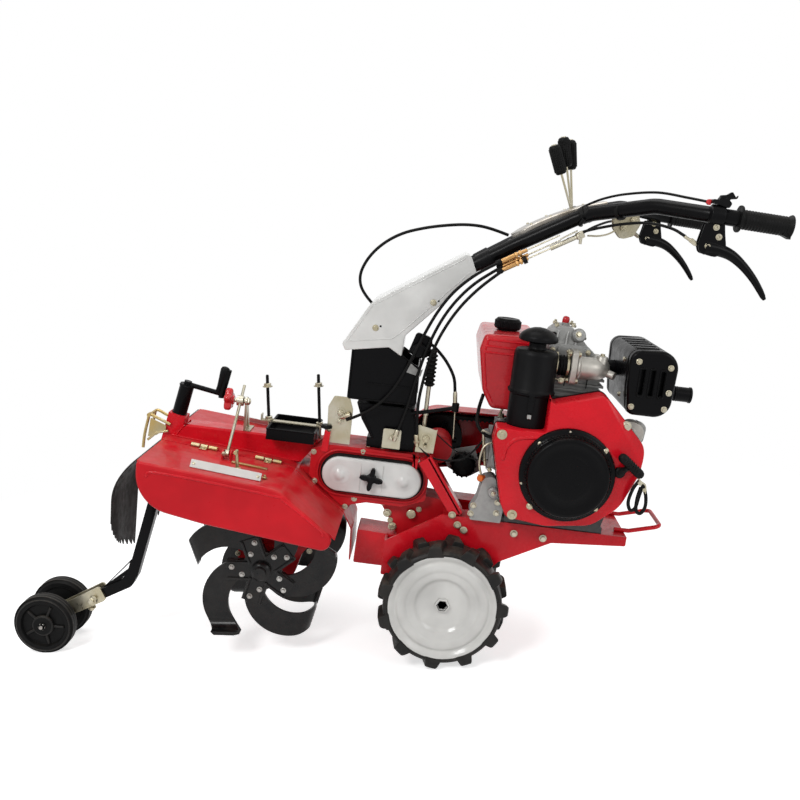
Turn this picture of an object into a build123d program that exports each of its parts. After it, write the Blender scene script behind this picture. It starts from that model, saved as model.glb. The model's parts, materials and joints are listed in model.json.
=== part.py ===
from build123d import *
from math import asin, atan2, cos, degrees, pi, radians, sin, sqrt
import os

# Walking power tiller with a side mounted diesel engine.
# Everything is modelled level in the chassis frame: X runs from the rotor (minus) to the engine (plus),
# Y runs across from the near side (minus) to the far side (plus), and the wheel axle is at X = Z = 0.
# The finished machine is leaned by CHASSIS_TILT about the axle, onto its drive wheels and depth wheels.

# Stance and fits
CHASSIS_TILT = 9.0
CLEARANCE = 5.0
PIN_GAP = 0.4
SHEET = 3.0

# Drive wheels
RIM_RADIUS = 124.0
TYRE_HEIGHT = 26.0
WHEEL_RADIUS = RIM_RADIUS + TYRE_HEIGHT
TYRE_WIDTH = 88.0
WHEEL_TRACK = 300.0
LUG_HEIGHT = 14.0
LUG_COUNT = 11
LUG_BASE = 32.0
LUG_TIP = 20.0
LUG_SWEEP = 16.0
RIM_SHEET = 4.0
HUB_RADIUS = 24.0
HEX_BORE = 23.0
AXLE_RADIUS = 12.5

# Rotor
ROTOR_X = -430.0
ROTOR_Z = 0.0
ROTOR_RADIUS = 190.0
ROTOR_SHAFT_RADIUS = 16.0
ROTOR_HALF_WIDTH = 128.0
ROTOR_END_RADIUS = 14.0
ROTOR_END_LENGTH = 16.0
SLEEVE_RADIUS = 24.0
FLANGE_RADIUS = 48.0
TINE_COUNT = 5
TINE_THICKNESS = 8.0
TINE_WIDTH = 44.0
TINE_REACH = 42.0
TINE_ROW_Y = 98.0
TINE_PHASE = 48.0

# Transmission cases
CASE_HALF_WIDTH = 60.0
LEG_HALF_WIDTH = 38.0
BEARING_CAP = 8.0
COVER_LEFT_X = -272.0
COVER_RIGHT_X = -122.0
COVER_Z = 250.0
COVER_RADIUS = 42.0
COVER_DEPTH = 18.0
COVER_DOME = 8.0
KNOB_REACH = 27.0
KNOB_DEPTH = 17.0

# Beam over the rotor
BEAM_LEFT_X = -646.0
BEAM_RIGHT_X = -330.0
BEAM_TOP_Z = 312.0
BEAM_BOTTOM_Z = 254.0
BEAM_SLANT = 42.0
BEAM_HALF_WIDTH = 30.0
BEAM_CHAMFER = 4.0
BEAM_WALL = 5.0

# Hood
HOOD_HALF_WIDTH = 272.0
HOOD_CENTRE_HALF_WIDTH = 78.0
HOOD_LEFT_X = -692.0
HOOD_KNEE_X = -385.0
HOOD_NOSE_X = -252.0
HOOD_LEFT_Z = 282.0
HOOD_KNEE_Z = 256.0
HOOD_NOSE_Z = 160.0
HOOD_SKIRT = 124.0
NOSE_REACH = 26.0
NOSE_LOW_Z = 44.0
HINGE_RADIUS = 5.0
HINGE_PIN_RADIUS = 2.0
HINGE_LENGTH = 62.0
HINGE_X = (-592.0, -440.0)
FLAP_TEETH = 14
FLAP_DROP = 262.0
FLAP_THICKNESS = 4.0

# Depth leg and depth wheels
LEG_X = -690.0
LEG_Z = 266.0
LEG_LEAN = 11.5
LEG_TUBE = 25.0
LEG_BELOW = 385.0
SOCKET_WALL = 8.0
SOCKET_LENGTH = 120.0
SOCKET_RAISE = 6.0
CRANK_TUBE = 74.0
DEPTH_WHEEL_X = -960.0
DEPTH_WHEEL_RADIUS = 74.0
DEPTH_WHEEL_WIDTH = 34.0
DEPTH_WHEEL_GAP = 74.0
DEPTH_AXLE_RADIUS = 8.0
FORK_SHEET = 6.0

# Battery tray
TRAY_LEFT_X = -452.0
TRAY_RIGHT_X = -340.0
TRAY_HALF_WIDTH = 76.0
TRAY_RIM = 26.0
TRAY_ROD_RADIUS = 3.5
TRAY_ROD_LEAN = 7.0
TRAY_ROD_LEFT_TOP = 447.0
TRAY_ROD_RIGHT_TOP = 463.0

# Wing stay: a sliding rod held by a clamp with a star knob
STAY_X = -527.0
STAY_CLAMP_Y = -24.0
STAY_CLAMP_Z = 384.0
STAY_LUG_Y = -130.0
STAY_LUG_RISE = 14.0
STAY_RADIUS = 3.5
EYE_GAP = 0.7
STUD_RADIUS = 5.0

# Engine bed
BED_TOP_Z = 190.0
BED_LEFT_X = -20.0
BED_RIGHT_X = 405.0
BED_SHEET = 6.0
BED_TYRE_GAP = 8.0
MEMBER_LEFT_X = -220.0
MEMBER_RIGHT_X = -150.0
BUMPER_RADIUS = 5.0
BUMPER_REACH = 82.0
BUMPER_RISE = 20.0
BUMPER_HALF_WIDTH = 62.0

# Engine
CRANK_X = 230.0
CRANK_HEIGHT = 156.0
CRANKCASE_NEAR_Y = -125.0
CRANKCASE_FAR_Y = 90.0
SHROUD_FACE_Y = -192.0
RECOIL_RADIUS = 104.0
RECOIL_DEPTH = 36.0
FILTER_X = 135.0
FILTER_Y = -128.0
FILTER_RADIUS = 50.0
CYLINDER_BOTTOM_Z = 430.0
CYLINDER_TOP_Z = 560.0
FIN_COUNT = 9
MUFFLER_X = 389.0
MUFFLER_Z = 562.0
MUFFLER_RADIUS = 38.0

# Belt drive on the far side
PULLEY_Y = 132.0
PULLEY_WIDTH = 34.0
INPUT_X = -50.0
INPUT_Z = 318.0
INPUT_PULLEY_RADIUS = 60.0
INPUT_BOSS_RADIUS = 34.0
INPUT_BOSS_Y = 86.0
INPUT_SHAFT_RADIUS = 14.0
CRANK_PULLEY_RADIUS = 42.0
BELT_THICKNESS = 8.0
BELT_WIDTH = 13.0
GUARD_GAP = 14.0
GUARD_Y = 172.0

# Column and handlebar
COLUMN_X = -185.0
COLUMN_FOOT_Z = 336.0
COLUMN_HALF_WIDTH = 62.0
SWIVEL_Z = 430.0
SWIVEL_RADIUS = 46.0
SWIVEL_PIN_RADIUS = 16.0
HANDLE_TUBE_RADIUS = 16.0
HANDLE_TUBE_WALL = 3.0
HANDLE_BEND = 110.0
GRIP_RADIUS = 19.0
GRIP_LENGTH = 106.0
GRIP_END_X = 574.0
GRIP_HALF_SPAN = 275.0

# Cables
CABLE_RADIUS = 3.5

NEAR = -1
FAR = 1
SIDES = (("near", NEAR), ("far", FAR))
PARTS = {}


# Shared shapes

def outline_face(corners):
    """A face in the XZ plane from (x, z) corners, each with its own corner radius where one is given."""
    points = [(corner[0], 0, corner[1]) for corner in corners]
    radii = [corner[2] if len(corner) > 2 else 0 for corner in corners]
    if max(radii) == 0:
        return make_face(Polyline(*points, close=True))
    return make_face(FilletPolyline(*points, radius=radii, close=True))


def plate(corners, y_low, y_high):
    """A flat outline in X and Z, thick across Y."""
    solid = extrude(outline_face(corners), amount=y_high - y_low, dir=(0, 1, 0))
    return Pos(0, y_low, 0) * solid


def side_plate(corners, side, y_inner, y_outer):
    """A plate between two distances from the middle plane, on one side of the machine."""
    low, high = sorted((side * y_inner, side * y_outer))
    return plate(corners, low, high)


def inset(corners, y_low, y_high, wall):
    """The space inside a plate's outline, one wall in."""
    face = offset(outline_face(corners), amount=-wall)
    solid = extrude(face, amount=y_high - y_low, dir=(0, 1, 0))
    return Pos(0, y_low, 0) * solid


def block(x_low, x_high, y_low, y_high, z_low, z_high):
    size = (x_high - x_low, y_high - y_low, z_high - z_low)
    return Pos((x_low + x_high) / 2, (y_low + y_high) / 2, (z_low + z_high) / 2) * Box(*size)


def rod(start, end, radius):
    """A round bar from one point to another."""
    run = Vector(*end) - Vector(*start)
    return Plane(origin=start, z_dir=run) * Cylinder(
        radius, run.length, align=(Align.CENTER, Align.CENTER, Align.MIN)
    )


def cross_rod(x, z, y_low, y_high, radius):
    """A round bar across the machine."""
    return rod((x, y_low, z), (x, y_high, z), radius)


def bent_tube(points, radius, bend, wall=0):
    """A round bar, or a tube with a wall, along straight runs with tangent arcs."""
    path = FilletPolyline(*points, radius=bend)
    section = Circle(radius)
    if wall:
        section = section - Circle(radius - wall)
    return sweep(Plane(origin=path @ 0, z_dir=path % 0) * section, path=path)


def turned(points, x=0.0, z=0.0):
    """A body turned about an axis across the machine, from (radius, y) points."""
    outline = Polyline(*[(r, y, 0) for r, y in points], close=True)
    return Pos(x, 0, z) * revolve(make_face(outline), axis=Axis.Y)


def upright(points, x, y):
    """A body turned about an upright axis, from (radius, z) points."""
    outline = Polyline(*[(r, 0, z) for r, z in points], close=True)
    return Pos(x, y, 0) * revolve(make_face(outline), axis=Axis.Z)


def mirrored(shape):
    return mirror(shape, about=Plane.XZ)


def fused(pieces):
    result = pieces[0]
    for piece in pieces[1:]:
        result = result + piece
    return result


def hood_height(x):
    """The hood sheet's top at a place between its left edge and its knee."""
    slope = (HOOD_KNEE_Z - HOOD_LEFT_Z) / (HOOD_KNEE_X - HOOD_LEFT_X)
    return HOOD_LEFT_Z + slope * (x - HOOD_LEFT_X)


# Drive wheels

def drive_tyre():
    """A low section tyre with alternating bar lugs, centred on Y = 0."""
    carcass = WHEEL_RADIUS - LUG_HEIGHT
    half = TYRE_WIDTH / 2
    bead = RIM_RADIUS - RIM_SHEET * 2
    body = turned([
        (bead, -half * 0.72), (carcass - 10, -half * 0.94), (carcass - 1, -half * 0.75),
        (carcass + 1, 0), (carcass - 1, half * 0.75), (carcass - 10, half * 0.94), (bead, half * 0.72),
    ])
    tread = turned([
        (carcass - 12, -half), (WHEEL_RADIUS - 4, -half), (WHEEL_RADIUS, -half + 6), (WHEEL_RADIUS, half - 6),
        (WHEEL_RADIUS - 4, half), (carcass - 12, half),
    ])
    low = carcass - 12
    bar = plate([(-LUG_BASE / 2, low), (-LUG_TIP / 2, WHEEL_RADIUS + 2), (LUG_TIP / 2, WHEEL_RADIUS + 2),
                 (LUG_BASE / 2, low)], -1, half + 8)
    lugs = []
    for side in (NEAR, FAR):
        one = Rot(0, 0, LUG_SWEEP) * bar
        if side == NEAR:
            one = mirrored(one)
        for index in range(LUG_COUNT):
            turn = 360.0 / LUG_COUNT * (index + 0.25 * side)
            lugs.append(Rot(0, turn, 0) * one)
    return body + (fused(lugs) & tread)


def drive_rim(side):
    """A pressed disc wheel and its hub sleeve, centred on Y = 0, dished toward the outside."""
    half = TYRE_WIDTH / 2
    face = [
        (RIM_RADIUS - 12, half * 0.80), (RIM_RADIUS - 17, half * 0.76), (RIM_RADIUS - 22, half * 0.82),
        (RIM_RADIUS - 38, half * 0.80), (RIM_RADIUS - 44, half * 0.72), (RIM_RADIUS - 60, half * 0.66),
        (RIM_RADIUS - 70, half * 0.46), (0, half * 0.46),
    ]
    back = [(r, y - RIM_SHEET) for r, y in reversed(face)]
    disc = turned(face + back)
    bead = RIM_RADIUS - RIM_SHEET * 2
    band = turned([
        (bead, -half * 0.72), (bead - RIM_SHEET, -half * 0.72), (bead - RIM_SHEET, half * 0.86),
        (RIM_RADIUS - 4, half * 0.97), (RIM_RADIUS, half * 0.92), (bead, half * 0.72),
    ])
    hub_inner = -(WHEEL_TRACK / 2 - LEG_HALF_WIDTH - BEARING_CAP - CLEARANCE)
    hub = cross_rod(0, 0, hub_inner, half * 0.46 + 3, HUB_RADIUS)
    boss = Pos(0, half * 0.46 + 7, 0) * Rot(90, 0, 0) * extrude(RegularPolygon(HEX_BORE * 0.78, 6), HEX_BORE)
    bore = Pos(0, half * 0.46 + 8, 0) * Rot(90, 0, 0) * extrude(
        RegularPolygon(HEX_BORE / 2, 6, major_radius=False), TYRE_WIDTH / 2)
    axle = cross_rod(0, 0, hub_inner - CLEARANCE - BEARING_CAP - 18, hub_inner + 4, AXLE_RADIUS)
    wheel = disc + band + hub + boss + axle - bore
    if side == NEAR:
        wheel = mirrored(wheel)
    return wheel


def drive_wheels():
    for name, side in SIDES:
        centre = Pos(0, side * WHEEL_TRACK / 2, 0)
        PARTS["drive_tyre_" + name] = centre * drive_tyre()
        PARTS["drive_rim_" + name] = centre * drive_rim(side)


# Rotor

def tine(side):
    """A sickle blade, root up, that sweeps toward minus X and ends in a hook toward one side."""
    reach = ROTOR_RADIUS
    root = TINE_WIDTH / 2
    start = (root - 2, 0, FLANGE_RADIUS - 8)
    shoulder = (root - 5, 0, 0.44 * reach)
    crown = (-0.33 * reach, 0, 0.75 * reach)
    tip_out = (-0.85 * reach, 0, 0.52 * reach)
    tip_in = (-0.78 * reach, 0, 0.26 * reach)
    throat = (-0.41 * reach, 0, 0.43 * reach)
    heel = (-root + 2, 0, 0.26 * reach)
    finish = (-root + 2, 0, FLANGE_RADIUS - 8)
    edges = [
        Line(start, shoulder), ThreePointArc(shoulder, crown, tip_out), Line(tip_out, tip_in),
        ThreePointArc(tip_in, throat, heel), Line(heel, finish), Line(finish, start),
    ]
    blank = extrude(make_face(Wire(edges)), amount=TINE_REACH + 1, dir=(0, 1, 0))
    far_x = -0.80 * reach
    bend = 4 * TINE_THICKNESS
    fold = FilletPolyline(
        (root, 0, 0), (far_x, 0, 0), (far_x, TINE_REACH, 0), (far_x + TINE_THICKNESS, TINE_REACH, 0),
        (far_x + TINE_THICKNESS, TINE_THICKNESS, 0), (root, TINE_THICKNESS, 0),
        radius=[0, bend, 0, 0, bend - TINE_THICKNESS, 0], close=True)
    blade = Pos(0, -TINE_THICKNESS / 2, 0) * (blank & extrude(make_face(fold), amount=reach, dir=(0, 0, 1)))
    if side == NEAR:
        blade = mirrored(blade)
    return blade


def tine_row(side):
    """A flange with clamped blades round it; neighbouring blades hook to opposite sides."""
    pieces = [cross_rod(0, 0, -6, 6, FLANGE_RADIUS)]
    for index in range(TINE_COUNT):
        hook = side if index % 2 else -side
        arm = block(-TINE_WIDTH / 2 - 3, TINE_WIDTH / 2 + 3, -8, 8, SLEEVE_RADIUS - 4, FLANGE_RADIUS + 34)
        turn = 360.0 / TINE_COUNT * index + TINE_PHASE
        pieces.append(Rot(0, turn, 0) * (arm + tine(hook)))
    return Pos(ROTOR_X, side * TINE_ROW_Y, ROTOR_Z) * fused(pieces)


def rotor():
    inner_end = ROTOR_HALF_WIDTH - ROTOR_END_LENGTH
    shaft = cross_rod(ROTOR_X, ROTOR_Z, -inner_end, inner_end, ROTOR_SHAFT_RADIUS)
    ends = cross_rod(ROTOR_X, ROTOR_Z, -ROTOR_HALF_WIDTH, ROTOR_HALF_WIDTH, ROTOR_END_RADIUS)
    PARTS["rotor_shaft"] = shaft + ends
    sleeve_start = LEG_HALF_WIDTH + BEARING_CAP + CLEARANCE
    for name, side in SIDES:
        low, high = sorted((side * sleeve_start, side * (inner_end - CLEARANCE)))
        pieces = [cross_rod(ROTOR_X, ROTOR_Z, low, high, SLEEVE_RADIUS)]
        pieces.append(tine_row(side))
        bore = cross_rod(ROTOR_X, ROTOR_Z, -ROTOR_HALF_WIDTH, ROTOR_HALF_WIDTH, ROTOR_SHAFT_RADIUS)
        PARTS["rotor_tines_" + name] = fused(pieces) - bore


# Transmission

def transmission():
    upper = [(-345, 300, 8), (-300, 314, 30), (-95, 314, 12), (-66, 298, 12), (-66, 205, 8), (-120, 184, 10),
             (-205, 184, 20), (-262, 168, 10), (-345, 234, 8)]
    input_boss = cross_rod(INPUT_X, INPUT_Z, 0, INPUT_BOSS_Y, INPUT_BOSS_RADIUS)
    PARTS["transmission_case"] = plate(upper, -CASE_HALF_WIDTH, CASE_HALF_WIDTH) + input_boss
    left_leg = [(-374, 246, 4), (-330, 250), (-250, 192), (-226, 186), (-345, 30, 40), (-366, -46, 40),
                (-430, -72, 50), (-494, -46, 40), (-502, 14, 40), (-478, 72, 30), (-440, 84, 20)]
    bearing = cross_rod(ROTOR_X, ROTOR_Z, -LEG_HALF_WIDTH - BEARING_CAP, LEG_HALF_WIDTH + BEARING_CAP, 40)
    shaft_bore = cross_rod(ROTOR_X, ROTOR_Z, -CASE_HALF_WIDTH, CASE_HALF_WIDTH, ROTOR_SHAFT_RADIUS + PIN_GAP)
    leg = plate(left_leg, -LEG_HALF_WIDTH, LEG_HALF_WIDTH) + bearing - shaft_bore
    PARTS["rotor_chain_case"] = leg - PARTS["transmission_case"]
    right_leg = [(-172, 184, 4), (-66, 210, 4), (8, 204, 6), (36, 130, 20), (50, 30, 40), (32, -46, 30),
                 (-32, -46, 30), (-54, 10, 30), (-112, 92, 20)]
    hub_cap = cross_rod(0, 0, -LEG_HALF_WIDTH - BEARING_CAP, LEG_HALF_WIDTH + BEARING_CAP, 34)
    axle_bore = cross_rod(0, 0, 10, CASE_HALF_WIDTH, AXLE_RADIUS + PIN_GAP)
    leg = plate(right_leg, -LEG_HALF_WIDTH, LEG_HALF_WIDTH) + hub_cap - axle_bore - mirrored(axle_bore)
    PARTS["wheel_chain_case"] = leg - PARTS["transmission_case"]


def gear_cover():
    face_y = -CASE_HALF_WIDTH
    front = face_y - COVER_DEPTH
    corner = COVER_RADIUS - 1
    outline = [(COVER_LEFT_X - COVER_RADIUS, COVER_Z - COVER_RADIUS, corner),
               (COVER_RIGHT_X + COVER_RADIUS, COVER_Z - COVER_RADIUS, corner),
               (COVER_RIGHT_X + COVER_RADIUS, COVER_Z + COVER_RADIUS, corner),
               (COVER_LEFT_X - COVER_RADIUS, COVER_Z + COVER_RADIUS, corner)]
    cover = plate(outline, front, face_y)
    cover = fillet(cover.faces().sort_by(Axis.Y)[0].edges(), COVER_DEPTH / 3)
    for x in (COVER_LEFT_X, COVER_RIGHT_X):
        dome = [(0, front), (COVER_RADIUS * 0.52, front), (COVER_RADIUS * 0.3, front - COVER_DOME * 0.5),
                (COVER_RADIUS * 0.15, front - COVER_DOME), (0, front - COVER_DOME)]
        cover = cover + turned(dome, x, COVER_Z)
    PARTS["gear_cover"] = cover
    middle = (COVER_LEFT_X + COVER_RIGHT_X) / 2
    knob = [cross_rod(middle, COVER_Z, front - KNOB_DEPTH, front, 11)]
    for turn in (8, 98, 188, 278):
        arm = plate([(0, -4), (KNOB_REACH - 6, -4), (KNOB_REACH, -7), (KNOB_REACH, 7), (KNOB_REACH - 6, 4), (0, 4)],
                    front - KNOB_DEPTH, front - 3)
        knob.append(Pos(middle, 0, COVER_Z) * Rot(0, turn, 0) * arm)
    PARTS["cover_knob"] = fused(knob)


# Frame

def main_beam():
    """A folded box beam with chamfered top edges, slanted ends and the socket of the depth leg."""
    slanted = [(BEAM_LEFT_X, BEAM_TOP_Z), (BEAM_RIGHT_X, BEAM_TOP_Z), (BEAM_RIGHT_X - BEAM_SLANT, BEAM_BOTTOM_Z),
               (BEAM_LEFT_X - BEAM_SLANT, hood_height(BEAM_LEFT_X - BEAM_SLANT))]
    outer = plate(slanted, -BEAM_HALF_WIDTH, BEAM_HALF_WIDTH)
    ridge = Polyline(
        (0, -BEAM_HALF_WIDTH, 0), (0, -BEAM_HALF_WIDTH, BEAM_TOP_Z - BEAM_CHAMFER),
        (0, BEAM_CHAMFER - BEAM_HALF_WIDTH, BEAM_TOP_Z), (0, BEAM_HALF_WIDTH - BEAM_CHAMFER, BEAM_TOP_Z),
        (0, BEAM_HALF_WIDTH, BEAM_TOP_Z - BEAM_CHAMFER), (0, BEAM_HALF_WIDTH, 0), close=True)
    length = BEAM_RIGHT_X - BEAM_LEFT_X + 2 * BEAM_SLANT
    section = Pos(BEAM_LEFT_X - BEAM_SLANT, 0, 0) * extrude(make_face(ridge), amount=length, dir=(1, 0, 0))
    inner = inset(slanted, BEAM_WALL - BEAM_HALF_WIDTH, BEAM_HALF_WIDTH - BEAM_WALL, BEAM_WALL)
    inner = inner & Pos(0, 0, -BEAM_WALL) * section
    half = LEG_TUBE / 2 + PIN_GAP
    shell = half + SOCKET_WALL
    lean = radians(LEG_LEAN)
    place = Pos(LEG_X + SOCKET_RAISE * sin(lean), 0, LEG_Z + SOCKET_RAISE * cos(lean)) * Rot(0, LEG_LEAN, 0)
    hole = place * Box(2 * half, 2 * half, 2 * SOCKET_LENGTH)
    socket = place * Box(2 * shell, 2 * shell, SOCKET_LENGTH)
    PARTS["main_beam"] = (outer & section) - inner + socket - hole - PARTS["transmission_case"]


def bed_half_width():
    return WHEEL_TRACK / 2 - TYRE_WIDTH / 2 - BED_TYRE_GAP


def engine_frame():
    """The engine's bed: a folded deck, side plates that run on to the hood, and a strut to the gear case."""
    half = bed_half_width()
    low = BED_TOP_Z - BED_SHEET
    deck = block(BED_LEFT_X, BED_RIGHT_X, -half, half, low, BED_TOP_Z)
    notch = block(BED_LEFT_X - 1, 60, -LEG_HALF_WIDTH - 1, LEG_HALF_WIDTH + 1, low - 1, BED_TOP_Z + 1)
    pieces = [deck - notch]
    side_outline = [(BED_LEFT_X - 4, BED_TOP_Z, 4), (BED_LEFT_X - 125, 112, 6), (MEMBER_RIGHT_X, 110, 4),
                    (MEMBER_RIGHT_X, 26, 4), (60, 20, 30), (120, 92, 6), (BED_LEFT_X + 255, 154, 4),
                    (BED_RIGHT_X, BED_TOP_Z - 22, 4), (BED_RIGHT_X, BED_TOP_Z, 2)]
    for side in (NEAR, FAR):
        pieces.append(side_plate(side_outline, side, half - BED_SHEET, half))
    pieces.append(block(MEMBER_RIGHT_X, MEMBER_RIGHT_X + BED_SHEET, -half, half, 30, 106))
    pieces.append(block(112, 112 + BED_SHEET, -half, half, 130, BED_TOP_Z - 2))
    pieces.append(block(BED_RIGHT_X - 40, BED_RIGHT_X - 34, -half, half, BED_TOP_Z - 20, BED_TOP_Z - 2))
    wide = LEG_HALF_WIDTH + BED_SHEET
    member = plate([(MEMBER_LEFT_X + 2, 110, 4), (MEMBER_RIGHT_X + 30, 106), (MEMBER_RIGHT_X + 30, 26),
                    (MEMBER_LEFT_X, 26, 4)], -wide, wide)
    pieces.append(member - block(MEMBER_LEFT_X + 8, MEMBER_RIGHT_X + 31, -LEG_HALF_WIDTH, LEG_HALF_WIDTH, 20, 104))
    strut = [(-84, 312), (-58, 312), (24, BED_TOP_Z), (-6, BED_TOP_Z)]
    pieces.append(side_plate(strut, NEAR, CASE_HALF_WIDTH, CASE_HALF_WIDTH + BED_SHEET))
    hub_room = cross_rod(0, 0, -half - 1, half + 1, HUB_RADIUS + CLEARANCE)
    frame = fused(pieces) - PARTS["wheel_chain_case"] - PARTS["transmission_case"] - hub_room
    leg_room = block(MEMBER_LEFT_X + 60, BED_LEFT_X, -LEG_HALF_WIDTH - 1, LEG_HALF_WIDTH + 1, 10, 60)
    PARTS["engine_frame"] = frame - leg_room


def bumper_loop():
    half = BUMPER_HALF_WIDTH
    seat = BED_TOP_Z + BUMPER_RADIUS
    points = [(BED_RIGHT_X - 24, -half, seat), (BED_RIGHT_X + 10, -half, seat),
              (BED_RIGHT_X + BUMPER_REACH, -half, seat + BUMPER_RISE),
              (BED_RIGHT_X + BUMPER_REACH, half, seat + BUMPER_RISE),
              (BED_RIGHT_X + 10, half, seat), (BED_RIGHT_X - 24, half, seat)]
    PARTS["bumper_loop"] = bent_tube(points, BUMPER_RADIUS, 16)


# Hood

def hood_strip(y_low, y_high):
    """The bent top sheet between two widths."""
    top = [(HOOD_LEFT_X, HOOD_LEFT_Z), (HOOD_KNEE_X, HOOD_KNEE_Z, 60), (HOOD_NOSE_X, HOOD_NOSE_Z)]
    under = [(HOOD_NOSE_X - 1, HOOD_NOSE_Z - SHEET), (HOOD_KNEE_X - 1, HOOD_KNEE_Z - SHEET, 57),
             (HOOD_LEFT_X, HOOD_LEFT_Z - SHEET)]
    return plate(top + under, y_low, y_high)


def hood_nose():
    """The centre sheet rolled over at the nose and down in front of the rotor."""
    left, right = HOOD_NOSE_X - 1, HOOD_NOSE_X + NOSE_REACH
    top, low = HOOD_NOSE_Z, NOSE_LOW_Z
    return plate([(left, top), (right - 4, top - 38, 18), (right, low), (right - SHEET, low),
                  (right - 4 - SHEET, top - 39, 15), (left, top - SHEET - 1)],
                 -HOOD_CENTRE_HALF_WIDTH, HOOD_CENTRE_HALF_WIDTH)


def wing_outline():
    """The end plate of a hood wing."""
    skirt = HOOD_LEFT_Z - HOOD_SKIRT
    return [(HOOD_LEFT_X, HOOD_LEFT_Z, 8), (HOOD_KNEE_X, HOOD_KNEE_Z, 60), (HOOD_NOSE_X - 4, HOOD_NOSE_Z + 3, 22),
            (HOOD_NOSE_X - 16, skirt - 28, 20), (HOOD_KNEE_X - 160, skirt + 1, 300), (HOOD_LEFT_X, skirt + 26, 86)]


def hinge_place(x, side):
    """The hinge line of a wing, along the hood's slope."""
    slope = degrees(atan2(HOOD_LEFT_Z - HOOD_KNEE_Z, HOOD_KNEE_X - HOOD_LEFT_X))
    return Pos(x, side * hinge_y(), hood_height(x) + HINGE_RADIUS - 1.5) * Rot(0, slope, 0)


def hinge_y():
    return HOOD_CENTRE_HALF_WIDTH + CLEARANCE / 2


def hinge_barrel(x, side, share_low, share_high, radius):
    """One length of a hinge's barrel, between two shares of the hinge's length."""
    low = HINGE_LENGTH * (share_low - 0.5)
    barrel = Rot(0, 90, 0) * Cylinder(radius, HINGE_LENGTH * (share_high - share_low),
                                      align=(Align.CENTER, Align.CENTER, Align.MIN))
    return hinge_place(x, side) * Pos(low, 0, 0) * barrel


def hinge_leaf(x, side, way, share_low, share_high):
    """The flat leaf that ties a length of barrel to the sheet beside it."""
    middle = HINGE_LENGTH * ((share_low + share_high) / 2 - 0.5)
    leaf = Box(HINGE_LENGTH * (share_high - share_low), 17, 2)
    return hinge_place(x, side) * Pos(middle, way * 9.5, -HINGE_RADIUS + 2) * leaf


def hood_wing(side):
    inner = HOOD_CENTRE_HALF_WIDTH + CLEARANCE
    low, high = sorted((side * inner, side * (HOOD_HALF_WIDTH - 8)))
    sheet = hood_strip(low, high)
    outer = side_plate(wing_outline(), side, HOOD_HALF_WIDTH - 14, HOOD_HALF_WIDTH)
    rim = outer.faces().sort_by(Axis.Y)[0 if side == NEAR else -1]
    outer = fillet(rim.edges(), 6)
    low, high = sorted((side * (HOOD_HALF_WIDTH - 40), side * (HOOD_HALF_WIDTH - SHEET)))
    wing = sheet + (outer - inset(wing_outline(), low, high, SHEET))
    for x in HINGE_X:
        wing = wing + hinge_leaf(x, side, side, 0.36, 0.64)
        wing = wing + hinge_barrel(x, side, 0.36, 0.64, HINGE_RADIUS)
        wing = wing - hinge_barrel(x, side, 0.0, 1.0, HINGE_PIN_RADIUS + PIN_GAP)
        for share_low, share_high in ((-0.02, 0.36), (0.64, 1.02)):
            wing = wing - hinge_barrel(x, side, share_low - 0.01, share_high + 0.01, HINGE_RADIUS + 1)
    if side == NEAR:
        wing = wing + stay_lug()
    return wing


def hood():
    centre = hood_strip(-HOOD_CENTRE_HALF_WIDTH, HOOD_CENTRE_HALF_WIDTH) + hood_nose()
    for side in (NEAR, FAR):
        for x in HINGE_X:
            for share_low, share_high in ((0.0, 0.33), (0.67, 1.0)):
                centre = centre + hinge_leaf(x, side, -side, share_low, share_high)
                centre = centre + hinge_barrel(x, side, share_low, share_high, HINGE_RADIUS)
            centre = centre + hinge_barrel(x, side, 0.1, 0.9, HINGE_PIN_RADIUS)
            knuckle_room = Box(HINGE_LENGTH * 0.34, 2 * HINGE_RADIUS + 2, 2 * HINGE_RADIUS + 2)
            centre = centre - hinge_place(x, side) * knuckle_room
            centre = centre + hinge_barrel(x, side, 0.1, 0.9, HINGE_PIN_RADIUS)
    notch = LEG_TUBE / 2 + SOCKET_WALL + CLEARANCE
    leg_notch = block(HOOD_LEFT_X - 20, HOOD_LEFT_X + 40, -notch, notch, HOOD_LEFT_Z - 80, HOOD_LEFT_Z + 20)
    beam_room = block(HOOD_LEFT_X, BEAM_RIGHT_X, -BEAM_HALF_WIDTH, BEAM_HALF_WIDTH, BEAM_BOTTOM_Z, BEAM_TOP_Z)
    centre = centre - leg_notch - (beam_room & hood_strip(-BEAM_HALF_WIDTH, BEAM_HALF_WIDTH) & PARTS["main_beam"])
    PARTS["hood_centre"] = centre - PARTS["main_beam"] - PARTS["rotor_chain_case"] - PARTS["transmission_case"]
    for name, side in SIDES:
        PARTS["hood_wing_" + name] = hood_wing(side)
        PARTS["rubber_flap_" + name] = rubber_flap(side)


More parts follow.
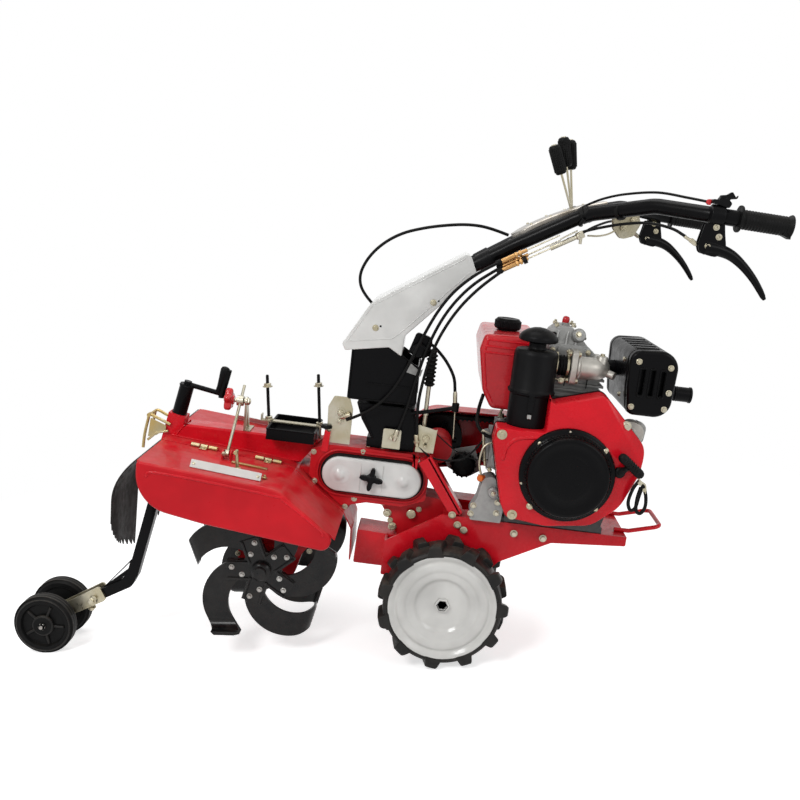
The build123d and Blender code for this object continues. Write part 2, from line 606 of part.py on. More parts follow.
def rubber_flap(side):
    """A hanging rubber sheet with a saw toothed lower edge."""
    inner = HOOD_CENTRE_HALF_WIDTH
    outer = HOOD_HALF_WIDTH - 16
    x = HOOD_LEFT_X
    z = HOOD_LEFT_Z
    thick = FLAP_THICKNESS
    profile = [(x, z - SHEET), (x - 38, z - 60, 30), (x - 50, z - 96, 40), (x - 50, z - FLAP_DROP),
               (x - 50 - thick, z - FLAP_DROP), (x - 50 - thick, z - 96, 44), (x - 38 - thick, z - 58, 34),
               (x - thick, z), (x, z)]
    low, high = sorted((side * inner, side * outer))
    sheet = plate(profile, low, high)
    edge = []
    for index in range(2 * FLAP_TEETH + 1):
        share = index / (2 * FLAP_TEETH)
        y = outer - share * (outer - inner)
        height = z - 110 - (FLAP_DROP - 132) * sqrt(share)
        if index % 2:
            height += 12
        edge.append((0, side * y, height))
    floor = z - FLAP_DROP - 40
    beyond = side * (outer + 5)
    within = side * (inner - 5)
    edge = [(0, beyond, floor), (0, beyond, z - 110)] + edge + [(0, within, edge[-1][2]), (0, within, floor)]
    cutter = extrude(make_face(Polyline(*edge, close=True)), amount=80, dir=(1, 0, 0))
    return sheet - Pos(x - 80, 0, 0) * cutter


# Depth leg

def leg_point(distance, aside=0.0):
    """A point along the depth leg's axis, and aside from it toward plus X."""
    lean = radians(LEG_LEAN)
    return (LEG_X + sin(lean) * distance + cos(lean) * aside, LEG_Z + cos(lean) * distance - sin(lean) * aside)


def fork_reach():
    """How far the depth wheels sit from where the foot of the leg bends."""
    foot = leg_point(-LEG_BELOW)
    return DEPTH_WHEEL_X - foot[0], depth_wheel_z() - foot[1]


def foot_point(share, aside=0.0):
    """A point on the line from the leg's bend to the depth wheel's axle, and aside from it."""
    foot = leg_point(-LEG_BELOW)
    run_x, run_z = fork_reach()
    length = sqrt(run_x ** 2 + run_z ** 2)
    return (foot[0] + share * run_x - aside * run_z / length, foot[1] + share * run_z + aside * run_x / length)


def depth_leg():
    half = LEG_TUBE / 2
    end = 0.52
    outline = [leg_point(10, -half), leg_point(-LEG_BELOW + 26, -half), foot_point(0.1, -half),
               foot_point(end, -half), foot_point(end, half), foot_point(0.02, half) + (24,),
               leg_point(-LEG_BELOW + 20, half), leg_point(10, half)]
    leg = plate(outline, -half, half)
    gusset = plate([leg_point(-LEG_BELOW + 62, -half + 2), foot_point(0.36, -half + 2), foot_point(0.15, -half + 2),
                    leg_point(-LEG_BELOW + 24, -half + 2)], -4, 4)
    window = plate([leg_point(-LEG_BELOW + 44, -half - 4), foot_point(0.25, -half - 5),
                    leg_point(-LEG_BELOW + 26, -half - 4)], -5, 5)
    bolt_x, bolt_z = foot_point(0.45)
    PARTS["depth_leg"] = leg + (gusset - window) - cross_rod(bolt_x, bolt_z, -half, half, 7)
    plates = []
    for side in (NEAR, FAR):
        shape = [foot_point(0.34, -22) + (8,), foot_point(0.55, -20) + (20,), foot_point(1.06, -16) + (14,),
                 foot_point(1.06, 16) + (14,), foot_point(0.34, 17) + (8,)]
        plates.append(side_plate(shape, side, half, half + FORK_SHEET))
    pin = cross_rod(bolt_x, bolt_z, -half - FORK_SHEET - 6, half + FORK_SHEET + 6, 7)
    tie_x, tie_z = foot_point(0.62)
    spacer = cross_rod(tie_x, tie_z, -half, half, 9)
    axle_bore = cross_rod(DEPTH_WHEEL_X, depth_wheel_z(), -2 * half - FORK_SHEET, 2 * half + FORK_SHEET,
                          DEPTH_AXLE_RADIUS + PIN_GAP)
    PARTS["depth_fork"] = plates[0] + plates[1] + pin + spacer - axle_bore


def depth_wheel_z():
    """The height, in the leaned chassis frame, that sets the depth wheels on the ground."""
    lean = radians(CHASSIS_TILT)
    drop = WHEEL_RADIUS - DEPTH_WHEEL_RADIUS
    return (-drop + sin(lean) * DEPTH_WHEEL_X) / cos(lean)


def depth_wheels():
    z = depth_wheel_z()
    inner = DEPTH_WHEEL_GAP / 2
    outer = inner + DEPTH_WHEEL_WIDTH
    rim = DEPTH_WHEEL_RADIUS
    profile = [(0, inner - 8), (22, inner - 8), (22, inner + 6), (rim - 22, inner + 6), (rim - 18, inner),
               (rim - 8, inner), (rim, inner + 8), (rim, outer - 8), (rim - 8, outer), (rim - 18, outer),
               (rim - 22, outer - 8), (22, outer - 8), (22, outer + 4), (0, outer + 4)]
    wheel = turned(profile, DEPTH_WHEEL_X, z)
    axle = cross_rod(DEPTH_WHEEL_X, z, -outer - 10, outer + 10, DEPTH_AXLE_RADIUS)
    PARTS["depth_wheels"] = wheel + mirrored(wheel) + axle


def depth_crank():
    socket_top = SOCKET_RAISE + SOCKET_LENGTH / 2
    base_x, base_z = leg_point(socket_top)
    top_x, top_z = leg_point(socket_top + CRANK_TUBE)
    cap_x, cap_z = leg_point(socket_top + CRANK_TUBE + 8)
    base, top, cap = (base_x, 0, base_z), (top_x, 0, top_z), (cap_x, 0, cap_z)
    arm_end = (top_x + 84, 0, top_z - 14)
    grip_end = (arm_end[0] + 12, 0, arm_end[2] + 60)
    foot_end = (arm_end[0], 0, arm_end[2] - 9)
    PARTS["depth_crank"] = fused([rod(base, top, 17), rod(top, cap, 9), rod(top, arm_end, 6),
                                  rod(arm_end, grip_end, 8), rod(arm_end, foot_end, 8)])


# Things on the beam

def battery_tray():
    left, right, half = TRAY_LEFT_X, TRAY_RIGHT_X, TRAY_HALF_WIDTH
    floor = BEAM_TOP_Z
    outer = block(left, right, -half, half, floor, floor + TRAY_RIM)
    inner = block(left + SHEET, right - SHEET, SHEET - half, half - SHEET, floor + SHEET, floor + TRAY_RIM + 1)
    PARTS["battery_tray"] = outer - inner
    strap = floor + TRAY_RIM
    pieces = [block(left - 24, right + 12, -9, 9, strap, strap + SHEET)]
    slope = sin(radians(TRAY_ROD_LEAN)) / cos(radians(TRAY_ROD_LEAN))
    for x, top in ((left - 5, TRAY_ROD_LEFT_TOP), (right + 6, TRAY_ROD_RIGHT_TOP)):
        heights = (floor, strap + SHEET, strap + SHEET + 6, top - 26, top - 19, top)
        line = [(x - slope * (z - floor), 0, z) for z in heights]
        pieces.append(rod(line[0], line[5], TRAY_ROD_RADIUS))
        pieces.append(rod(line[1], line[2], 8))
        pieces.append(rod(line[3], line[4], 8))
    hook = block(left - 24 - SHEET, left - 24, -9, 9, strap, strap + 16)
    PARTS["tray_clamp"] = fused(pieces + [hook]) - PARTS["battery_tray"] - PARTS["main_beam"]


def cable_bracket():
    post = plate([(-306, 316), (-262, 316), (-262, 400, 4), (-272, 428, 4), (-300, 428, 6), (-312, 404, 6)], -52, -49)
    slot = block(-296, -280, -53, -48, 416, 430)
    foot = block(-306, -262, -52, 10, 314, 317)
    PARTS["cable_bracket"] = post - slot + foot


def stay_lug():
    """Two ears and a pin on the near wing, which the stay rod's eye sits on."""
    base = hood_height(STAY_X) - 1
    pin_z = hood_height(STAY_X) + STAY_LUG_RISE
    ears = []
    for way in (-1, 1):
        x = STAY_X + way * 9.5
        ears.append(block(x - 1.5, x + 1.5, STAY_LUG_Y - 9, STAY_LUG_Y + 9, base, pin_z))
        ears.append(rod((x - 1.5, STAY_LUG_Y, pin_z), (x + 1.5, STAY_LUG_Y, pin_z), 9))
    pin = rod((STAY_X - 14, STAY_LUG_Y, pin_z), (STAY_X + 14, STAY_LUG_Y, pin_z), STAY_RADIUS - 0.5)
    return fused(ears) + pin


def wing_stay():
    """The stay rod, its clamp with the star knob, and the bracket that carries the clamp."""
    lug_z = hood_height(STAY_X) + STAY_LUG_RISE
    clamp = Vector(STAY_X, STAY_CLAMP_Y, STAY_CLAMP_Z)
    lug = Vector(STAY_X, STAY_LUG_Y, lug_z)
    run = (clamp - lug).normalized()
    top = clamp + run * 44
    eye = rod((STAY_X - 4, STAY_LUG_Y, lug_z), (STAY_X + 4, STAY_LUG_Y, lug_z), 8)
    eye_bore = rod((STAY_X - 6, STAY_LUG_Y, lug_z), (STAY_X + 6, STAY_LUG_Y, lug_z), STAY_RADIUS + EYE_GAP)
    PARTS["adjuster_rod"] = rod(tuple(lug), tuple(top), STAY_RADIUS) + eye - eye_bore
    rod_bore = rod(tuple(clamp - run * 30), tuple(top + run * 10), STAY_RADIUS + PIN_GAP)
    stud = rod((STAY_X - 26, STAY_CLAMP_Y, STAY_CLAMP_Z), (STAY_X + 22, STAY_CLAMP_Y, STAY_CLAMP_Z), STUD_RADIUS)
    collar = rod((STAY_X - 10, STAY_CLAMP_Y, STAY_CLAMP_Z), (STAY_X + 9, STAY_CLAMP_Y, STAY_CLAMP_Z), 12)
    knob_x = STAY_X - 20
    knob = [rod((knob_x - 8, STAY_CLAMP_Y, STAY_CLAMP_Z), (knob_x + 8, STAY_CLAMP_Y, STAY_CLAMP_Z), 16)]
    for index in range(5):
        turn = radians(72 * index + 18)
        y = STAY_CLAMP_Y + 19 * cos(turn)
        z = STAY_CLAMP_Z + 19 * sin(turn)
        knob.append(rod((knob_x - 7, y, z), (knob_x + 7, y, z), 8))
    PARTS["star_knob"] = fused(knob) + stud + collar - rod_bore
    left = STAY_X + 12
    foot = BEAM_TOP_Z
    wide = BEAM_HALF_WIDTH - BEAM_CHAMFER
    legs = Polyline((left, -wide, foot), (left, STAY_CLAMP_Y - 9, STAY_CLAMP_Z),
                    (left, STAY_CLAMP_Y + 9, STAY_CLAMP_Z), (left, wide, foot), (left, wide - 12, foot),
                    (left, STAY_CLAMP_Y + 4, STAY_CLAMP_Z - 24), (left, 10 - wide, foot), close=True)
    web = extrude(make_face(legs), amount=5, dir=(1, 0, 0))
    eye = rod((left, STAY_CLAMP_Y, STAY_CLAMP_Z), (left + 5, STAY_CLAMP_Y, STAY_CLAMP_Z), 11)
    bore = rod((left - 1, STAY_CLAMP_Y, STAY_CLAMP_Z), (left + 6, STAY_CLAMP_Y, STAY_CLAMP_Z), STUD_RADIUS + PIN_GAP)
    base = block(left, left + 16, -wide, wide, foot, foot + SHEET)
    PARTS["adjuster_bracket"] = web + eye + base - bore


# Column and handlebar

def column():
    half = COLUMN_HALF_WIDTH
    case_top = 314.0
    joint = SWIVEL_Z - 8
    left = COLUMN_X - 65
    right = COLUMN_X + 69
    shape = [(left, joint), (right, joint), (right + 20, COLUMN_FOOT_Z, 4), (left + 46, COLUMN_FOOT_Z, 4),
             (left + 14, COLUMN_FOOT_Z + 49, 30)]
    lower = plate(shape, -half, half) - inset(shape, BEAM_WALL - half, half - BEAM_WALL, BEAM_WALL)
    stem = block(left + 30, right + 8, -40, 40, case_top - 4, COLUMN_FOOT_Z + 2)
    ring = Pos(COLUMN_X, 0, SWIVEL_Z - 6) * Cylinder(SWIVEL_RADIUS, 12)
    pin = Pos(COLUMN_X, 0, SWIVEL_Z + 15) * Cylinder(SWIVEL_PIN_RADIUS, 40)
    PARTS["column_lower"] = lower + (stem - PARTS["transmission_case"]) + ring + pin
    head_shape = [(left - 24, SWIVEL_Z, 4), (right, SWIVEL_Z, 4), (right - 2, 524, 8), (right - 24, 528, 8),
                  (right - 46, 546, 10), (right - 70, 560), (left - 24, 550)]
    head = plate(head_shape, -half - 4, half + 4)
    room = block(left - 20, right - 4, -half, half, SWIVEL_Z + 38, 600)
    bore = Pos(COLUMN_X, 0, SWIVEL_Z + 20) * Cylinder(SWIVEL_PIN_RADIUS + PIN_GAP, 60)
    seat = Pos(COLUMN_X, 0, SWIVEL_Z) * Cylinder(SWIVEL_RADIUS + 1, 2 * PIN_GAP)
    PARTS["column_head"] = head - room - bore - seat


def handle_tube_points(side):
    """The route of one handlebar tube, from the column to the end of its grip."""
    span = GRIP_HALF_SPAN
    return [(-75, side * 48, 730), (60, side * 60, 818), (200, side * 92, 902), (325, side * 0.69 * span, 934),
            (440, side * span, 926), (GRIP_END_X - 4, side * span, 921)]


def handle():
    half = 70.0
    outline = [(-298, 556, 6), (-290, 541, 4), (-191, 559, 8), (-160, 541, 3), (-158, 589, 6), (-14, 747, 10),
               (-35, 792, 12), (-241, 657, 60)]
    hollow = [(-280, 535), (-276, 556), (-232, 648, 50), (-38, 785, 6), (-19, 746, 6), (-165, 588), (-165, 530)]
    shroud = plate(outline, -half, half)
    shroud = fillet(shroud.faces().sort_by(Axis.Y)[0].edges() + shroud.faces().sort_by(Axis.Y)[-1].edges(), 2.5)
    shroud = shroud - plate(hollow, SHEET - half, half - SHEET) - PARTS["column_head"]
    routes = [handle_tube_points(side) for side in (NEAR, FAR)]
    tubes = [bent_tube(route, HANDLE_TUBE_RADIUS, HANDLE_BEND, HANDLE_TUBE_WALL) for route in routes]
    cores = [bent_tube(route, HANDLE_TUBE_RADIUS, HANDLE_BEND) for route in routes]
    braces = rod((60, -46, 818), (60, 46, 818), 12) + rod((200, -78, 902), (200, 78, 902), 12)
    stub = rod((-75, -44, 730), (-75, 44, 730), 14)
    PARTS["handle_tubes"] = tubes[0] + tubes[1] + braces + stub
    envelope = cores[0] + cores[1] + braces + stub
    PARTS["handle_shroud"] = shroud - envelope
    grips = []
    for side in (NEAR, FAR):
        y = side * GRIP_HALF_SPAN
        start = Vector(GRIP_END_X - GRIP_LENGTH, y, 925.2)
        end = Vector(GRIP_END_X, y, 920.9)
        along = (end - start).normalized()
        body = rod(tuple(start), tuple(end), GRIP_RADIUS)
        flange = rod(tuple(start), tuple(start + along * 7), GRIP_RADIUS + 8)
        flare = rod(tuple(end - along * 8), tuple(end), GRIP_RADIUS + 4)
        grips.append(body + flange + flare)
    PARTS["hand_grips"] = (grips[0] + grips[1]) - envelope
    levers = []
    for side in (NEAR, FAR):
        y = side * GRIP_HALF_SPAN
        bracket = plate([(409, 912, 4), (440, 912, 4), (452, 868, 8), (436, 850, 8), (410, 852, 8)], y - 7, y + 7)
        blade = plate([(420, 873), (474, 860, 40), (520, 827, 60), (552, 783, 5), (541, 777, 5), (509, 815, 60),
                       (468, 846, 40), (420, 860)], y - 9, y + 9)
        levers.append(bracket + blade)
    PARTS["hand_levers"] = (levers[0] + levers[1]) - envelope
    throttle_y = -GRIP_HALF_SPAN
    base = plate([(412, 925), (448, 925), (448, 948, 5), (436, 955, 6), (412, 950, 5)],
                 throttle_y - 13, throttle_y + 13)
    arm = plate([(418, 948), (426, 944), (462, 962, 4), (462, 974, 4), (450, 972, 4)], throttle_y - 4, throttle_y + 4)
    PARTS["throttle_lever"] = base + arm - envelope
    curve = [(58, 830, 3), (150, 888, 150), (250, 927, 3), (250, 937, 3), (148, 902, 160), (52, 841, 3)]
    PARTS["shift_plate"] = plate(curve, -56, 56) - envelope - PARTS["handle_tubes"]
    shifts = []
    for x, y, top in ((118, -32, 1042), (140, 0, 1064), (160, 32, 1062)):
        foot = (176 + 0.15 * y, 0.8 * y, 906)
        neck = (x + 8, y, top - 58)
        shifts.append(rod(foot, neck, 4) + rod(neck, (x, y, top), 13))
    PARTS["shift_levers"] = fused(shifts) - PARTS["shift_plate"] - envelope


# Engine

def engine():
    base = BED_TOP_Z
    crank_z = base + CRANK_HEIGHT
    near_y, far_y = CRANKCASE_NEAR_Y, CRANKCASE_FAR_Y
    case = plate([(118, base + 12), (332, base + 12), (340, base + 50, 10), (340, 400, 16), (318, 430, 12),
                  (128, 430, 12), (112, 400, 16), (112, base + 50, 10)], near_y, far_y)
    feet = block(104, 346, near_y + 30, far_y, base, base + 13)
    housing = turned([(0, SHROUD_FACE_Y + 8), (96, SHROUD_FACE_Y + 8), (104, near_y), (0, near_y)], CRANK_X, crank_z)
    far_cover = turned([(0, far_y), (92, far_y), (84, far_y + 10), (44, far_y + 14), (0, far_y + 14)],
                       CRANK_X, crank_z)
    shaft = cross_rod(CRANK_X, crank_z, far_y, PULLEY_Y, 14)
    PARTS["crankcase"] = case + feet + housing + far_cover + shaft
    cylinder()
    fan_shroud(crank_z)
    tank_and_cap()
    air_filter()
    muffler()
    pump = block(64, 112, -60, 10, 322, 392) + rod((86, -24, 392), (86, -24, 420), 14)
    lever = plate([(46, 398, 4), (58, 402, 4), (74, 330, 6), (60, 326, 6)], -78, -74)
    link = cross_rod(66, 334, -76, -58, 6)
    PARTS["injection_pump"] = pump + lever + link


def cylinder():
    low, high = CYLINDER_BOTTOM_Z, CYLINDER_TOP_Z
    core = block(174, 292, -62, 66, low, high)
    pitch = (high - low) / FIN_COUNT
    fins = [block(165, 302, -72, 76, low + pitch * (index + 0.5), low + pitch * (index + 0.5) + 5)
            for index in range(FIN_COUNT)]
    seat = plate([(169, high - 2, 2), (169, 606, 12), (266, 606, 12), (292, 580, 10), (298, high - 2, 2)], -56, 62)
    cover = plate([(171, 590, 2), (171, 634, 12), (188, 650, 8), (218, 651, 8), (258, 612, 14), (262, 590, 2)],
                  -40, 46)
    cover = fillet(cover.faces().sort_by(Axis.Y)[0].edges() + cover.faces().sort_by(Axis.Y)[-1].edges(), 1.5)
    lever = block(200, 212, -4, 5, 640, 668)
    PARTS["cylinder_head"] = fused([core] + fins) + seat + cover + lever


def fan_shroud(crank_z):
    face = SHROUD_FACE_Y
    outline = [(66, 432, 6), (172, 434, 5), (172, 527, 14), (291, 527, 24), (392, 424, 36), (388, 366, 60),
               (356, 285, 80), (300, 236, 60), (200, 222, 60), (112, 232, 14), (96, 262, 20), (62, 398, 12)]
    back = CRANKCASE_NEAR_Y - 3
    shroud = plate(outline, face, back)
    shroud = fillet(shroud.faces().sort_by(Axis.Y)[0].edges(), 4)
    shroud = shroud - inset(outline, face + 4, back + 10, 4)
    PARTS["fan_shroud"] = shroud - PARTS["crankcase"]
    ring = RECOIL_RADIUS
    cone = ring - 16
    PARTS["recoil_cover"] = turned([
        (0, face), (ring, face), (ring, face - 8), (ring - 4, face - 12), (ring - 8, face - 12), (cone, face - 33),
        (cone - 3, face - RECOIL_DEPTH), (cone - 12, face - RECOIL_DEPTH), (cone - 15, face - 32), (0, face - 32),
    ], CRANK_X, crank_z)
    y = face - 20
    ends = [(341, y, 403), (380, y, 373)]
    bar = rod(*ends, 10.5) + Pos(*ends[0]) * Sphere(10.5) + Pos(*ends[1]) * Sphere(10.5)
    neck = rod((360, y, 388), (342, face - 3, 366), 6.5) + cross_rod(342, 366, face - 10, face, 9)
    PARTS["pull_handle"] = bar + neck - PARTS["recoil_cover"] - PARTS["fan_shroud"]


def tank_and_cap():
    shape = [(22, 615, 12), (150, 621, 16), (150, 446, 8), (56, 446, 18), (32, 486, 30), (14, 580, 20)]
    tank = plate(shape, -66, 190)
    ends = tank.faces().sort_by(Axis.Y)[0].edges() + tank.faces().sort_by(Axis.Y)[-1].edges()
    tank = fillet(ends, 10)
    PARTS["fuel_tank"] = tank - PARTS["cylinder_head"]
    cap_x, cap_y = 78.0, 40.0
    PARTS["tank_cap"] = upright([(0, 610), (24, 610), (24, 621), (31, 623), (31, 640), (26, 646), (0, 648)],
                                cap_x, cap_y) - PARTS["fuel_tank"]


def air_filter():
    wide = FILTER_RADIUS
    shape = [(0, 424), (wide - 10, 424), (wide - 4, 432), (wide - 4, 505), (wide + 1, 507), (wide + 1, 514),
             (wide - 1, 516), (wide - 1, 596), (wide - 7, 604), (20, 604), (20, 620), (41, 621), (42, 632), (30, 646),
             (0, 653)]
    body = upright(shape, FILTER_X, FILTER_Y)
    PARTS["air_filter"] = body - PARTS["fuel_tank"] - PARTS["crankcase"] - PARTS["fan_shroud"]
    duct_z = 571.0
    duct_y = FILTER_Y + 24
    duct = rod((FILTER_X + 30, duct_y, duct_z), (216, duct_y, duct_z), 20)
    flange = block(214, 228, duct_y - 26, duct_y + 30, duct_z - 37, duct_z + 37)
    elbow = bent_tube([(220, duct_y, duct_z), (283, duct_y, duct_z), (283, -34, duct_z)], 25, 30)
    PARTS["intake_elbow"] = duct + flange + elbow - PARTS["air_filter"] - PARTS["cylinder_head"]


def muffler():
    near_y, far_y = -152.0, 104.0
    outline = [(334, 629, 24), (443, 636, 40), (438, 487, 38), (346, 487, 16), (338, 545, 20)]
    guard = plate(outline, near_y, far_y)
    guard = fillet(guard.faces().sort_by(Axis.Y)[0].edges(), 8)
    guard = guard - inset(outline, near_y + SHEET, far_y + 10, SHEET)
    for index in range(3):
        x = 362 + 22 * index
        guard = guard - block(x, x + 9, near_y - 2, near_y + 12, 534, 590)
    for row in range(5):
        y = near_y + 40 + 38 * row
        guard = guard - block(350, 420, y, y + 12, 600, 645)
    out_y, out_z = -40.0, 528.0
    body = cross_rod(MUFFLER_X, MUFFLER_Z, near_y + 16, far_y - 8, MUFFLER_RADIUS)
    room = cross_rod(MUFFLER_X, MUFFLER_Z, near_y + 19, far_y - 11, MUFFLER_RADIUS - SHEET)
    neck = rod((296, 20, MUFFLER_Z), (MUFFLER_X - 20, 20, MUFFLER_Z), 18)
    outlet = rod((400, out_y, out_z), (508, out_y, out_z), 15)
    outlet_end = rod((470, out_y, out_z), (508, out_y, out_z), 17)
    bore = rod((404, out_y, out_z), (520, out_y, out_z), 12)
    PARTS["muffler"] = body + neck + outlet + outlet_end - room - bore - PARTS["cylinder_head"]
    passages = rod((404, out_y, out_z), (520, out_y, out_z), 19) + rod((290, 20, MUFFLER_Z), (360, 20, MUFFLER_Z), 20)
    PARTS["muffler_guard"] = guard - passages


# Belt drive

def pulley(x, z, radius):
    """A two groove pulley, centred on PULLEY_Y."""
    half = PULLEY_WIDTH / 2
    groove = BELT_THICKNESS + 4
    profile = [(0, -half)]
    for middle in (-half / 2, half / 2):
        profile += [(radius, middle - half / 2 + 1.5), (radius - groove, middle - BELT_WIDTH / 3),
                    (radius - groove, middle + BELT_WIDTH / 3), (radius, middle + half / 2 - 1.5)]
    profile.insert(1, (radius, -half))
    profile += [(radius, half), (0, half)]
    return Pos(0, PULLEY_Y, 0) * turned(profile, x, z)


def belt_hull(y_low, y_high, input_radius, crank_radius):
    """The outline of a belt round both pulleys, thick across Y."""
    crank_z = BED_TOP_Z + CRANK_HEIGHT
    run_x, run_z = CRANK_X - INPUT_X, crank_z - INPUT_Z
    length = sqrt(run_x ** 2 + run_z ** 2)
    slope = degrees(asin(run_z / length))
    swing = asin((input_radius - crank_radius) / length)
    sine, cosine = sin(swing), cos(swing)
    input_top = (input_radius * sine, 0, input_radius * cosine)
    crank_top = (length + crank_radius * sine, 0, crank_radius * cosine)
    input_low = (input_top[0], 0, -input_top[2])
    crank_low = (crank_top[0], 0, -crank_top[2])
    edges = [
        Line(input_top, crank_top), ThreePointArc(crank_top, (length + crank_radius, 0, 0), crank_low),
        Line(crank_low, input_low), ThreePointArc(input_low, (-input_radius, 0, 0), input_top),
    ]
    solid = extrude(make_face(Wire(edges)), amount=y_high - y_low, dir=(0, 1, 0))
    return Pos(INPUT_X, y_low, INPUT_Z) * Rot(0, -slope, 0) * solid


def belt_drive():
    crank_z = BED_TOP_Z + CRANK_HEIGHT
    input_shaft = cross_rod(INPUT_X, INPUT_Z, INPUT_BOSS_Y, PULLEY_Y, INPUT_SHAFT_RADIUS)
    input_pulley = pulley(INPUT_X, INPUT_Z, INPUT_PULLEY_RADIUS) + input_shaft
    crank_pulley = pulley(CRANK_X, crank_z, CRANK_PULLEY_RADIUS) - PARTS["crankcase"]
    PARTS["transmission_pulley"] = input_pulley
    PARTS["engine_pulley"] = crank_pulley
    belts = []
    for middle in (-PULLEY_WIDTH / 4, PULLEY_WIDTH / 4):
        low = PULLEY_Y + middle - BELT_WIDTH / 2
        high = low + BELT_WIDTH
        outer = belt_hull(low, high, INPUT_PULLEY_RADIUS, CRANK_PULLEY_RADIUS)
        inner = belt_hull(low - 1, high + 1, INPUT_PULLEY_RADIUS - BELT_THICKNESS,
                          CRANK_PULLEY_RADIUS - BELT_THICKNESS)
        belts.append(outer - inner - input_pulley - crank_pulley)
    PARTS["drive_belts"] = belts[0] + belts[1]
    wide = INPUT_PULLEY_RADIUS + GUARD_GAP
    narrow = CRANK_PULLEY_RADIUS + GUARD_GAP
    shell = belt_hull(PULLEY_Y - PULLEY_WIDTH / 2 - CLEARANCE, GUARD_Y, wide, narrow)
    room = belt_hull(PULLEY_Y - PULLEY_WIDTH, GUARD_Y - SHEET, wide - SHEET, narrow - SHEET)
    arm = block(-96, -68, 0, PULLEY_Y - PULLEY_WIDTH / 2, 308, 312) - PARTS["transmission_case"]
    PARTS["belt_guard"] = shell - room + arm


def gear_lever():
    x, y = -90.0, -66.0
    rod_body = rod((x, y - 2, 340), (x, y - 2, 562), 5)
    gaiter = [(0, 482), (9, 482)]
    for index in range(5):
        z = 484 + 13 * index
        gaiter += [(11, z + 4), (11, z + 8), (8, z + 12)]
    gaiter += [(0, gaiter[-1][1])]
    boot = upright(gaiter, x, y - 2)
    arm = rod((x, y - 2, 424), (x + 66, y - 2, 436), 5)
    foot = block(x - 8, x + 5, -CASE_HALF_WIDTH - 14, -CASE_HALF_WIDTH, 296, 346)
    PARTS["gear_lever"] = rod_body + boot + arm + foot - PARTS["column_lower"]


# Control cables

LOOP_ROUTE = [(48, -8, 838), (4, -7, 850), (-44, -6, 852), (-96, -5, 844), (-146, -4, 832), (-196, -3, 814),
              (-238, -2, 784), (-268, 0, 746), (-282, 2, 704), (-268, 4, 666), (-236, 4, 640)]
CABLE_ROUTES = [
    [(46, -86, 776), (12, -92, 752), (-22, -97, 724), (-52, -97, 688), (-76, -94, 648), (-95, -91, 602),
     (-109, -89, 554), (-119, -86, 506), (-128, -83, 458), (-137, -84, 410), (-150, -83, 366)],
    [(46, -96, 768), (16, -104, 742), (-14, -109, 712), (-42, -108, 676), (-65, -104, 636), (-84, -101, 592),
     (-97, -99, 546), (-105, -97, 498), (-110, -94, 450), (-108, -92, 404), (-103, -91, 362)],
    [(42, -92, 786), (4, -100, 764), (-32, -106, 736), (-64, -107, 702), (-90, -102, 660), (-111, -98, 612),
     (-129, -95, 562), (-148, -93, 512), (-170, -89, 464), (-202, -84, 424), (-238, -74, 396), (-270, -64, 378)],
]


def cable(route):
    """A cable along straight runs with the largest tangent arcs that its runs allow."""
    points = [Vector(*point) for point in route]
    radii = []
    for before, here, after in zip(points, points[1:], points[2:]):
        turn = radians((here - before).get_angle(after - here))
        shorter = min((here - before).length, (after - here).length)
        radii.append(0.45 * shorter / (sin(turn / 2) / cos(turn / 2)))
    path = FilletPolyline(*route, radius=radii)
    solid = sweep(Plane(origin=path @ 0, z_dir=path % 0) * Circle(CABLE_RADIUS), path=path)
    print("cable radii", [round(radius) for radius in radii], "length", round(path.length, 1),
          "volume ratio", round(solid.volume / (path.length * pi * CABLE_RADIUS ** 2), 4))
    return solid


def cables():
    PARTS["cable_loop"] = cable(LOOP_ROUTE) - PARTS["shift_plate"]
    inlet = rod(LOOP_ROUTE[-2], LOOP_ROUTE[-1], CABLE_RADIUS + PIN_GAP)
    PARTS["handle_shroud"] = PARTS["handle_shroud"] - inlet
    PARTS["control_cables"] = Compound(children=[cable(route) for route in CABLE_ROUTES])


def build():
    drive_wheels()
    rotor()
    transmission()
    gear_cover()
    main_beam()
    engine_frame()
    bumper_loop()
    hood()
    depth_leg()
    depth_wheels()
    depth_crank()
    battery_tray()
    cable_bracket()
    wing_stay()
    column()
    handle()
    engine()
    belt_drive()
    gear_lever()
    cables()


build()
lean = Pos(0, 0, WHEEL_RADIUS) * Rot(0, CHASSIS_TILT, 0)
leaned = {name: lean * shape for name, shape in PARTS.items()}
boxes = [shape.bounding_box() for shape in leaned.values()]
centre_x = (min(box.min.X for box in boxes) + max(box.max.X for box in boxes)) / 2
centre_y = (min(box.min.Y for box in boxes) + max(box.max.Y for box in boxes)) / 2
floor_z = min(box.min.Z for box in boxes)
print("origin shift", centre_x, centre_y, floor_z)
os.makedirs("parts", exist_ok=True)
for name, shape in leaned.items():
    export_step(Pos(-centre_x, -centre_y, -floor_z) * shape, "parts/" + name + ".step")
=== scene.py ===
"""The looks of a walking power tiller: hooded tine rotor, two lugged drive wheels, side diesel and long handlebar.

Most sizes are millimetres in the machine's own level frame, whose origin is the drive axle: X runs from the rotor
(minus) to the engine (plus), Y from the near side (minus) to the far side (plus). lean() takes them to the row frame.
"""

import json
import math

import bmesh
import bpy
from mathutils import Matrix, Vector


